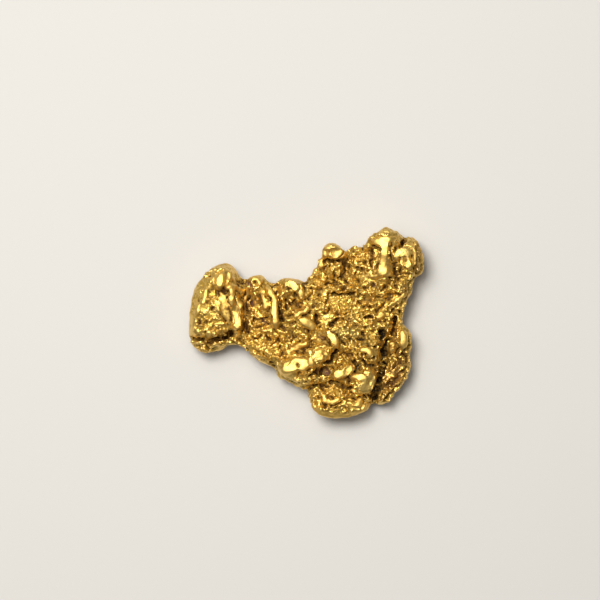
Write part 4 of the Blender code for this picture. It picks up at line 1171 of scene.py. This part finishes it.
polish_cover = [(path, reach, 1.0) for path, reach, _ in polished_ridges]
facet_cover = [
    (x, y, PLATE_SPREAD * half_length, PLATE_SPREAD * half_width, turn, 1.0)
    for x, y, half_length, half_width, turn, *_ in facets
]
bright_patches = rubbed_patches + facet_cover
print("bars and plates that shine:", len(polish_cover), "and", len(facet_cover))

# %% [markdown]
# ## Raise the ridges
#
# A river marks only what it reaches, so the marks fade out on the sides, where the skin no longer faces
# up. Each mark rises the way the skin faces, pulled a little towards the sky. Widths swell and heights
# vary along each ridge. Without that, every ridge would look like a piece of wire. Near a polished bar
# the smaller ridges and creases are worn away.

# %% Raise the ridges and measure the creases
MARK_STRENGTH = 1.4
POLISH_STRENGTH = 0.9
WORN_BY_POLISH = 0.8
PULL_UP = np.array((0.0, 0.0, 0.6))

points = read_points(nugget.data)
normals = read_normals(nugget.data)
facing_up = smooth_step(normals[:, 2], 0.0, 0.45)
spots = ragged_spots(points)
smooth_spots = smooth_edged_spots(points)
swell = 1.05 + 0.60 * soft_noise(points, 0.45, 9.0)
gentle_swell = 1.10 + 0.60 * soft_noise(points, 0.60, 11.0)
uneven = np.clip(1.0 + 1.6 * soft_noise(points, 0.40, 10.0), 0.15, 1.8)

ridge_height = strongest_mark(spots, ridges, round_section, swell) * uneven
crease_depth = strongest_mark(spots, creases, v_section, swell) * uneven
polished_height = strongest_mark(smooth_spots, polished_ridges, flat_section, gentle_swell)
polished_height *= 1.0 + 0.6 * soft_noise(points, 0.80, 12.0)
polished = strongest_mark(smooth_spots, polish_cover, flat_section, gentle_swell)
polished = smooth_step(polished, 0.05, 0.60) * facing_up
unpolished = (1.0 - WORN_BY_POLISH * polished) * facing_up
height = MARK_STRENGTH * ridge_height * unpolished
height += POLISH_STRENGTH * polished_height * facing_up
depth = MARK_STRENGTH * crease_depth * unpolished

direction = normals + facing_up[:, None] * PULL_UP
direction /= np.linalg.norm(direction, axis=1)[:, None]
points = points + direction * height[:, None]
print("highest mark %.2f mm, deepest %.2f mm" % (height.max(), depth.max()))

# %% [markdown]
# Burnished gold shines because it is level, not because it is a paler metal. So the top of each polished
# bar is brought to one tilt across its width, while it still follows the ground along its length.

# %% Level the polished bars
MIDDLE_SHARE = 0.45
FEWEST_POINTS = 4
AVERAGING_WIDTH = 0.6
LEVELLING = 0.75


def level_across(points, spots, path, reach, facing_up):
    share = distance_to_path(spots, path) / reach
    top = np.flatnonzero((share < MIDDLE_SHARE) & (facing_up > 0.2))
    near = np.flatnonzero((share < 1.0) & (facing_up > 0.0))
    if len(top) < FEWEST_POINTS:
        return
    gaps = spots[near][:, None, :] - spots[top][None, :, :]
    closeness = np.exp(-(gaps ** 2).sum(axis=2) / (AVERAGING_WIDTH * reach) ** 2)
    closeness /= closeness.sum(axis=1)[:, None]
    middles = closeness @ points[top]
    level = middles[:, 2] - (points[near] - middles)[:, :2] @ np.array(FACING_THE_LIGHT[:2])
    strength = LEVELLING * flat_section(share[near]) * facing_up[near]
    points[near, 2] += strength * (level - points[near, 2])


for path, reach, _ in polished_ridges:
    level_across(points, smooth_spots, path, reach, facing_up)
print("bars levelled:", len(polished_ridges))

# %% [markdown]
# A plate is a whole ellipse brought to one tilt. It keeps a low dome, given by how far its rim leans
# outward, and a faint ripple, because beaten gold is never quite flat. The tilt decides how bright it
# looks: facing the light it flashes, and leaning away it turns deep yellow. The creases are cut last, so
# that they stay sharp where they cross a plate.

# %% Beat the plates flat and cut the creases
RIPPLE = 0.025
FLATTENING = 0.88
OWN_TILT = 0.10

ripple = RIPPLE * soft_noise(points, 0.55, 13.0)
for x, y, half_length, half_width, turn, lift, facing, rim_lean in facets:
    spread = (PLATE_SPREAD * half_length, PLATE_SPREAD * half_width)
    mask = inside_ellipse(spots, x, y, *spread, turn) * facing_up
    inner = mask > 0.5
    middle = points[inner].mean(axis=0) + np.array((0.0, 0.0, 0.5 * lift))
    lean = OWN_TILT * normals[inner].mean(axis=0) + (1.0 - OWN_TILT) * np.array(facing)
    level = middle[2] - ((points - middle)[:, :2] @ lean[:2]) / lean[2]
    along, across = turned_offsets(points, middle[0], middle[1], turn)
    level -= 0.5 * rim_lean * (along ** 2 / half_length + across ** 2 / half_width)
    points[:, 2] += mask * FLATTENING * (level + ripple - points[:, 2])

write_points(nugget.data, points - direction * depth[:, None])
print("plates beaten:", len(facets), "creases cut:", len(creases))

# %% [markdown]
# ## Wear
#
# The stream wears whatever stands proud. Each point is compared with the average of the skin around it,
# and what rises more than a tenth of a millimetre above that average is cut down by about half. Sharp
# lumps turn into flat tops.

# %% Wear the high places down
def edge_pairs(mesh):
    pairs = np.empty(len(mesh.edges) * 2, dtype=np.int32)
    mesh.edges.foreach_get("vertices", pairs)
    pairs = pairs.reshape(-1, 2)
    counts = np.bincount(pairs.ravel(), minlength=len(mesh.vertices)).astype(float)
    return pairs, counts


def neighbour_average(values, pairs, counts):
    total = np.zeros_like(values)
    for axis in range(values.shape[1]):
        from_start = np.bincount(pairs[:, 1], weights=values[pairs[:, 0], axis], minlength=len(values))
        from_end = np.bincount(pairs[:, 0], weights=values[pairs[:, 1], axis], minlength=len(values))
        total[:, axis] = from_start + from_end
    return total / counts[:, None]


def proudness(points, normals, pairs, counts, rounds):
    averaged = points
    for _ in range(rounds):
        averaged = neighbour_average(averaged, pairs, counts)
    return np.einsum("ij,ij->i", points - averaged, normals)


WORN_LEVEL = 0.10
WORN_SHARE = 0.55
WEAR_ROUNDS = 40

melt(nugget, 2)
points = read_points(nugget.data)
normals = read_normals(nugget.data)
pairs, counts = edge_pairs(nugget.data)
proud = proudness(points, normals, pairs, counts, WEAR_ROUNDS)
worn_away = WORN_SHARE * np.maximum(proud - WORN_LEVEL, 0.0)
points -= normals * worn_away[:, None]
write_points(nugget.data, points)
print("worn down by up to %.2f mm" % worn_away.max())

# %% [markdown]
# ## The grain
#
# Three layers of grain are added to the whole skin. The coarse one is lumps, swapped for folds, beads or
# leaves where a zone asks for them. On top come pebbles less than half a millimetre across, and last the
# tilted shards that make gold glitter. Rubbed plates, polished bars and the sides stay quiet.

# %% Measure the grain
LUMP_SIZE = 0.75
PEBBLE_SIZE = 0.46
SHARD_SIZE = 0.80
BEAD_SIZE = 0.50
UPRIGHT_FOLD = (0.50, 1.40, 0.90)
SLANTING_FOLD = (1.40, 0.50, 0.90)
LEAF = (1.60, 1.60, 0.45)

normals = read_normals(nugget.data)
side_zone = 1.0 - smooth_step(np.abs(normals[:, 2]), 0.25, 0.60)
upright_zone = named_mask(spots, zones, "upright") * facing_up
slanting_zone = named_mask(spots, zones, "slanting") * facing_up
beaded_zone = named_mask(spots, zones, "beaded") * facing_up
calm_zone = named_mask(spots, zones, "calm") * smooth_step(points[:, 2], 0.2, 1.0)
rubbing = np.maximum(combined_mask(spots, bright_patches) * facing_up, polished)

wandered = wander(points, 1.1, 0.30, 7.0)
slanted = np.column_stack((*turned_offsets(wandered, 0.0, 0.0, 50), wandered[:, 2]))
lumps = folded_noise(wandered, (LUMP_SIZE,) * 3, 1.0)
upright = folded_noise(wandered, UPRIGHT_FOLD, 2.0)
slanting = folded_noise(slanted, SLANTING_FOLD, 3.0)
leaves = folded_noise(wandered, LEAF, 4.0)
beads = folded_noise(wander(points, 0.6, 0.12, 5.0), (BEAD_SIZE,) * 3, 5.0)
grain = pebbles(wander(wander(points, 0.9, 0.30, 6.0), 0.35, 0.09, 6.5), PEBBLE_SIZE, 6.0)
crumpled = shards(wander(points, 0.8, 0.10, 8.0), SHARD_SIZE, 7.0)
print("pebble tops cover %.0f%% of the skin" % (100.0 * np.mean(grain > 0.8)))

# %% Add the grain
LUMP_HEIGHT = 0.31
PEBBLE_HEIGHT = 0.12
SHARD_HEIGHT = 0.06
LUMP_MIDDLE = 0.22
PEBBLE_MIDDLE = 0.70
CALM_IN_ZONES = 0.80
CALM_WHERE_RUBBED = 0.85
CALM_ON_MARKS = 0.50
CALM_ON_SIDES = 0.65
LEAVES_ON_SIDES = 0.60


def blend(base, other, mask):
    return base + (other - base) * mask


coarse = blend(lumps, upright, upright_zone)
coarse = blend(coarse, slanting, slanting_zone)
coarse = blend(coarse, beads, beaded_zone)
coarse = blend(coarse, leaves, side_zone * LEAVES_ON_SIDES)
marked = smooth_step(np.maximum(ridge_height, crease_depth), 0.02, 0.10) * facing_up
quiet = (1.0 - CALM_IN_ZONES * calm_zone) * (1.0 - CALM_WHERE_RUBBED * rubbing)
quiet = quiet * (1.0 - CALM_ON_MARKS * marked) * (1.0 - CALM_ON_SIDES * side_zone)
height = LUMP_HEIGHT * (coarse - LUMP_MIDDLE) + PEBBLE_HEIGHT * (grain - PEBBLE_MIDDLE)
height = height + SHARD_HEIGHT * crumpled
points += normals * (quiet * height)[:, None]
print("the grain reaches from %.2f to %.2f mm" % ((quiet * height).min(), (quiet * height).max()))

# %% [markdown]
# The skin must end in the same box as the solid. The highest tops are bent over softly, so that none of
# them is cut off flat, and then the whole skin is stretched by a percent or so to touch all six sides.

# %% Fit the skin to the solid's box
SOFT_TOP = 4.6

room = cad_box[1][2] / MM - SOFT_TOP
over = np.maximum(points[:, 2] - SOFT_TOP, 0.0)
points[:, 2] += room * np.tanh(over / room) - over
solid_low = np.array(cad_box[0]) / MM
solid_high = np.array(cad_box[1]) / MM
low = points.min(axis=0)
high = points.max(axis=0)
stretch = (solid_high - solid_low) / (high - low)
write_points(nugget.data, solid_low + (points - low) * stretch)
melt(nugget, 1)
print("stretched by", np.round(stretch, 4))

# %% [markdown]
# Decimation then spends the triangles where the skin bends most.

# %% Keep the triangles within bounds
MOST_TRIANGLES = 195000

apply_modifier(nugget, "TRIANGULATE")
share = MOST_TRIANGLES / len(nugget.data.polygons)
if share < 1.0:
    apply_modifier(nugget, "DECIMATE", ratio=share)
for face in nugget.data.polygons:
    face.use_smooth = True
print("triangles:", len(nugget.data.polygons))

# %% [markdown]
# ## Hollows and crests
#
# Hollows are painted darker, a painted shade that also stands for dirt, and crests are painted paler, a
# painted highlight. Both come from one measure: how far each point stands above the average of its
# neighbours. A few rounds of averaging find the fine creases, and many rounds find the wide hollows.

# %% Measure how proud each point stands
FINE_ROUNDS = 6
WIDE_ROUNDS = 60

mesh = nugget.data
pairs, counts = edge_pairs(mesh)
points = read_points(mesh)
normals = read_normals(mesh)
fine = proudness(points, normals, pairs, counts, FINE_ROUNDS)
wide = proudness(points, normals, pairs, counts, WIDE_ROUNDS)
print("fine proudness, mm:", np.round(np.percentile(fine, (5, 50, 95)), 3))
print("wide proudness, mm:", np.round(np.percentile(wide, (5, 50, 95)), 3))

# %% [markdown]
# The material can't know where the marks are, so everything that it needs is stored on the mesh as named
# layers of numbers between nought and one. Then the mesh goes back to metres and takes the solid's place.

# %% Store what the gold material will read
def store(mesh, name, values):
    layer = mesh.attributes.new(name, "FLOAT", "POINT")
    layer.data.foreach_set("value", np.clip(values, 0.0, 1.0).astype(np.float32))


facing_up = smooth_step(normals[:, 2], -0.1, 0.35)
spots = ragged_spots(points)
no_swell = np.ones(len(points))
for colour in ("umber", "plum", "black_dirt_and_shade", "orange", "olive"):
    store(mesh, colour, named_mask(spots, stains_and_shade, colour) * facing_up)
polished = strongest_mark(smooth_edged_spots(points), polish_cover, round_section, no_swell)
rubbing = np.maximum(0.7 * combined_mask(spots, bright_patches), smooth_step(polished, 0.1, 0.7))
cut = strongest_mark(spots, creases, v_section, no_swell) * facing_up
store(mesh, "cut", smooth_step(cut, 0.05, 0.30) * (1.0 - smooth_step(polished, 0.0, 0.4)))
store(mesh, "crease", smooth_step(-fine, 0.003, 0.022))
store(mesh, "hollow", smooth_step(-wide, 0.02, 0.16))
store(mesh, "crest", smooth_step(fine + 0.25 * wide, 0.004, 0.04))
store(mesh, "rubbed", rubbing * facing_up)
print("layers:", ", ".join(layer.name for layer in mesh.attributes if layer.data_type == "FLOAT"))

# %% Put the skin in the solid's place
write_points(mesh, points * MM)
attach(nugget, "root")
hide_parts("nugget")
print("size of the skin, in metres:", np.round(np.array(nugget.dimensions), 5))

# %% [markdown]
# ## Tools for the material
#
# A material is a small machine of nodes. An input takes either a number or the output of another node,
# and the helpers accept both. Most of them make one node and hand back its output, so that the recipes
# below read like sums.

# %% Nodes and their inputs
def new_material(name):
    material = bpy.data.materials.new(name)
    material.use_nodes = True
    material.node_tree.nodes.clear()
    return material, material.node_tree


def plug(tree, socket, value):
    if isinstance(value, bpy.types.NodeSocket):
        tree.links.new(value, socket)
    else:
        socket.default_value = value


def add_node(tree, kind, **inputs):
    node = tree.nodes.new(kind)
    for name, value in inputs.items():
        plug(tree, node.inputs[name.replace("_", " ")], value)
    return node


def finish_surface(tree, **inputs):
    surface = add_node(tree, "ShaderNodeBsdfPrincipled", **inputs)
    add_node(tree, "ShaderNodeOutputMaterial", Surface=surface.outputs["BSDF"])


# %% Sums and mixes of two inputs
def arithmetic(tree, operation, first, second):
    node = tree.nodes.new("ShaderNodeMath")
    node.operation = operation
    node.use_clamp = True
    plug(tree, node.inputs[0], first)
    plug(tree, node.inputs[1], second)
    return node.outputs[0]


def times(tree, first, second):
    return arithmetic(tree, "MULTIPLY", first, second)


def plus(tree, first, second):
    return arithmetic(tree, "ADD", first, second)


def larger(tree, first, second):
    return arithmetic(tree, "MAXIMUM", first, second)


def one_minus(tree, value):
    return arithmetic(tree, "SUBTRACT", 1.0, value)


def mix_colour(tree, share, first, second):
    node = tree.nodes.new("ShaderNodeMix")
    node.data_type = "RGBA"
    for number, value in ((0, share), (6, first), (7, second)):
        plug(tree, node.inputs[number], value)
    return node.outputs[2]


# %% Layers, noise and soft steps
def layer_value(tree, name):
    node = tree.nodes.new("ShaderNodeAttribute")
    node.attribute_name = name
    return node.outputs["Fac"]


def noise_value(tree, position, scale, detail=3.0, low=0.35, high=0.65):
    texture = add_node(tree, "ShaderNodeTexNoise", Vector=position, Scale=scale, Detail=detail)
    fac = texture.outputs["Fac"]
    return add_node(tree, "ShaderNodeMapRange", Value=fac, From_Min=low, From_Max=high).outputs["Result"]


def soft_range(tree, value, low, high, start=0.0, end=1.0):
    limits = {"From_Min": low, "From_Max": high, "To_Min": start, "To_Max": end}
    node = add_node(tree, "ShaderNodeMapRange", Value=value, **limits)
    node.interpolation_type = "SMOOTHSTEP"
    return node.outputs["Result"]


# %% [markdown]
# ## The gold
#
# Under a glass, the skin of a nugget is a mosaic of tiny grains, too fine for the mesh. A cell texture
# draws them, and noise bends its straight borders. The dark lines between the grains are painted shade in
# their fine creases, as well as dirt. Where the gold is rubbed the lines are gone.

# %% Patterns in the metal
PATCHES_PER_METRE = 700.0
SPECKS_PER_METRE = 5200.0
TEETH_PER_METRE = 14000.0
SWIRLS_PER_METRE = 1600.0
GRAINS_PER_METRE = 3600.0
BEND = (0.5 * MM,) * 3

gold, tree = new_material("native_gold")
position = tree.nodes.new("ShaderNodeNewGeometry").outputs["Position"]
patches = noise_value(tree, position, PATCHES_PER_METRE)
specks = noise_value(tree, position, SPECKS_PER_METRE, detail=4.0)
tooth = noise_value(tree, position, TEETH_PER_METRE)
rubbed = layer_value(tree, "rubbed")
unrubbed = one_minus(tree, rubbed)
print("grains are about %.2f mm apart" % (1.0 / GRAINS_PER_METRE / MM))

# %% The mosaic of grains
swirl = add_node(tree, "ShaderNodeTexNoise", Vector=position, Scale=SWIRLS_PER_METRE, Detail=2.0)
bent = tree.nodes.new("ShaderNodeVectorMath")
bent.operation = "MULTIPLY_ADD"
for socket, value in zip(bent.inputs, (swirl.outputs["Color"], BEND, position)):
    plug(tree, socket, value)
cells = add_node(tree, "ShaderNodeTexVoronoi", Vector=bent.outputs[0], Scale=GRAINS_PER_METRE)
cells.feature = "DISTANCE_TO_EDGE"
cells.normalize = False
from_border = cells.outputs["Distance"]
grain_line_shade = times(tree, soft_range(tree, from_border, 0.0, 0.11, 1.0, 0.0), unrubbed)
pillows = soft_range(tree, from_border, 0.0, 0.30)
print("nodes so far:", len(tree.nodes))

# %% [markdown]
# Native gold holds a little silver, so its colour drifts between orange and olive, and the olive is also
# painted shade where the skin leans away from the lamp. It is a metal all over, so its base colour is also
# the colour of its reflections. Crests and rubbed places are painted paler, a painted highlight. Hollows
# are painted browner, a painted shade for the light that bounces in them several times before it comes out.

# %% Colours of the metal
GOLD = (0.77, 0.52, 0.105, 1.0)
PAINTED_HIGHLIGHT_GOLD = (0.90, 0.61, 0.20, 1.0)
ORANGE_GOLD = (0.77, 0.44, 0.06, 1.0)
OLIVE_GOLD = (0.60, 0.45, 0.12, 1.0)
SHADED_AND_TARNISHED_GOLD = (0.42, 0.22, 0.05, 1.0)

hollow = layer_value(tree, "hollow")
crest = layer_value(tree, "crest")
umber_stain = layer_value(tree, "umber")
# Crests and rubbed places are painted paler: this is a painted highlight.
painted_highlight = larger(tree, crest, rubbed)
# Hollows are painted browner, which is painted shade; the umber stains add real tarnish to it.
hollow_shade_and_tarnish = larger(tree, times(tree, hollow, 0.55), times(tree, umber_stain, 0.80))
colour = mix_colour(tree, times(tree, patches, 0.45), GOLD, ORANGE_GOLD)
colour = mix_colour(tree, times(tree, layer_value(tree, "orange"), 0.8), colour, ORANGE_GOLD)
# The olive is partly a tone of the metal and partly painted shade, where the skin leans away from the lamp.
colour = mix_colour(tree, times(tree, layer_value(tree, "olive"), 0.55), colour, OLIVE_GOLD)
colour = mix_colour(tree, times(tree, painted_highlight, 0.5), colour, PAINTED_HIGHLIGHT_GOLD)
colour = mix_colour(tree, hollow_shade_and_tarnish, colour, SHADED_AND_TARNISHED_GOLD)
print("nodes so far:", len(tree.nodes))

# %% [markdown]
# The dark layer isn't metal: it is rough and dark. In the creases, in the cut marks and along the thin
# lines it is painted shade as well as dirt, and the stains add umber, plum and black in the places written
# down above, the black being painted shade in cracks and pits too. Specks break it up, and it never stays
# on a crest.

# %% Painted shade and dirt in the creases
UMBER_DIRT_AND_SHADE = (0.055, 0.022, 0.004, 1.0)
PLUM_DIRT = (0.130, 0.062, 0.042, 1.0)
BLACK_DIRT_AND_SHADE = (0.024, 0.019, 0.012, 1.0)

# Creases, cut marks and the thin lines between grains are painted dark: painted shade as well as dirt.
crease_shade_and_dirt = times(tree, plus(tree, times(tree, hollow, 0.55), 0.50), layer_value(tree, "crease"))
crease_shade_and_dirt = larger(tree, crease_shade_and_dirt, times(tree, layer_value(tree, "cut"), 0.8))
crease_shade_and_dirt = larger(tree, crease_shade_and_dirt, times(tree, grain_line_shade, 0.65))
crease_shade_and_dirt = times(tree, crease_shade_and_dirt, plus(tree, specks, 0.55))
umber = times(tree, umber_stain, plus(tree, specks, 0.40))
plum = times(tree, layer_value(tree, "plum"), plus(tree, specks, 0.50))
# The black is painted shade in the cracks, creases and pits, as well as dirt.
black_dirt_and_shade = times(tree, layer_value(tree, "black_dirt_and_shade"), plus(tree, specks, 0.45))
dirt_and_shade = larger(tree, larger(tree, crease_shade_and_dirt, umber), larger(tree, plum, black_dirt_and_shade))
dirt_and_shade = times(tree, dirt_and_shade, one_minus(tree, crest))
dirt_and_shade_colour = mix_colour(tree, plum, UMBER_DIRT_AND_SHADE, PLUM_DIRT)
dirt_and_shade_colour = mix_colour(tree, black_dirt_and_shade, dirt_and_shade_colour, BLACK_DIRT_AND_SHADE)
colour = mix_colour(tree, dirt_and_shade, colour, dirt_and_shade_colour)
print("nodes so far:", len(tree.nodes))

# %% [markdown]
# Gold that was rubbed by sand is satin, not mirror bright, so the rubbed places are the rougher ones. Two
# fine bumps give the metal its tooth, and a third rounds each grain of the mosaic into a tiny pillow.

# %% Roughness and bump
BARE_ROUGHNESS = 0.29

roughness = plus(tree, times(tree, rubbed, 0.20), BARE_ROUGHNESS)
roughness = plus(tree, roughness, times(tree, specks, 0.08))
roughness = plus(tree, roughness, times(tree, dirt_and_shade, 0.45))

bump = add_node(tree, "ShaderNodeBump", Strength=0.10, Distance=0.01 * MM, Height=tooth)
normal = bump.outputs["Normal"]
bump = add_node(tree, "ShaderNodeBump", Strength=0.15, Distance=0.03 * MM, Height=specks, Normal=normal)
normal = bump.outputs["Normal"]
strength = times(tree, unrubbed, 0.9)
bump = add_node(
    tree, "ShaderNodeBump", Strength=strength, Distance=0.03 * MM, Height=pillows, Normal=normal
)
print("nodes so far:", len(tree.nodes))

# %% Dress the nugget in gold
finish_surface(
    tree,
    Base_Color=colour,
    Roughness=roughness,
    Metallic=one_minus(tree, dirt_and_shade),
    Normal=bump.outputs["Normal"],
    Specular_IOR_Level=0.06,
)
nugget.data.materials.clear()
nugget.data.materials.append(gold)
print("nodes in the gold:", len(tree.nodes))

# %% [markdown]
# ## Floor, light and camera
#
# The nugget lies on a plain pale floor, wide enough to reach past every edge of the picture.

# %% The floor
FLOOR_HALF = 0.6
PALE_GREY = (0.57, 0.56, 0.54, 1.0)

around = ((-1, -1), (1, -1), (1, 1), (-1, 1))
corners = [(side * FLOOR_HALF, end * FLOOR_HALF, 0.0) for side, end in around]
floor_mesh = bpy.data.meshes.new("floor")
floor_mesh.from_pydata(corners, [], [(0, 1, 2, 3)])
floor = bpy.data.objects.new("floor", floor_mesh)
bpy.context.scene.collection.objects.link(floor)
paper, tree = new_material("pale_floor")
finish_surface(tree, Base_Color=PALE_GREY, Roughness=0.85)
floor_mesh.materials.append(paper)
print("the floor is %.1f m across" % (2.0 * FLOOR_HALF))

# %% [markdown]
# Metal shows what it mirrors, so the lamps matter more than the paint. A small soft lamp stands almost
# beside the camera: only skin that faces it flashes, and everything else falls off into deep yellow. A
# wide, weak lamp above it fills the sides of the bumps, and the dim room around them mirrors as brown.

# %% The lamps
MIDDLE = Vector((0.0, 0.0, 0.003))
WARM_WHITE = (1.0, 0.97, 0.92)
SOFT_WHITE = (1.0, 0.98, 0.95)


def area_light(name, place, size, power, colour):
    light = bpy.data.lights.new(name, "AREA")
    light.shape = "DISK"
    light.size = size
    light.energy = power
    light.color = colour
    lamp = bpy.data.objects.new(name, light)
    lamp.location = place
    lamp.rotation_euler = (MIDDLE - Vector(place)).to_track_quat("-Z", "Y").to_euler()
    bpy.context.scene.collection.objects.link(lamp)


area_light("key", place=(-0.05, 0.07, 0.26), size=0.12, power=0.70, colour=WARM_WHITE)
area_light("ceiling", place=(-0.06, 0.08, 0.36), size=0.45, power=0.94, colour=SOFT_WHITE)
print("lamps:", len(bpy.data.lights))

# %% The room around them
ROOM_GREY = (0.32, 0.31, 0.29, 1.0)
ROOM_STRENGTH = 0.26

world = bpy.data.worlds.new("dim_room")
world.use_nodes = True
room_light = world.node_tree.nodes["Background"]
room_light.inputs["Color"].default_value = ROOM_GREY
room_light.inputs["Strength"].default_value = ROOM_STRENGTH
bpy.context.scene.world = world
print("the room's strength:", ROOM_STRENGTH)

# %% [markdown]
# The camera looks almost straight down, from a little to the right and to the front. It stands about
# twelve nugget lengths away with a long lens, so the near parts hardly look larger than the far ones.

# %% The camera
AIM = Vector((-0.00054, 0.00218, 0.0025))
DISTANCE = 0.26
VIEW_WIDTH = 0.05607
LEAN_X = 4.0
LEAN_Y = -3.0

lens = bpy.data.cameras.new("camera")
lens.sensor_width = 36.0
lens.lens = lens.sensor_width * DISTANCE / VIEW_WIDTH
lens.clip_start = 0.01
lens.clip_end = 10.0
camera = bpy.data.objects.new("camera", lens)
toward = Vector((math.sin(math.radians(LEAN_X)), math.sin(math.radians(LEAN_Y)), 1.0)).normalized()
sideways = Vector((0.0, 1.0, 0.0)).cross(toward).normalized()
upward = toward.cross(sideways)
camera.location = AIM + toward * DISTANCE
camera.rotation_euler = Matrix((sideways, upward, toward)).transposed().to_euler()
bpy.context.scene.collection.objects.link(camera)
bpy.context.scene.camera = camera
bpy.context.scene.view_settings.view_transform = "Standard"
print("lens of %.0f mm" % lens.lens)
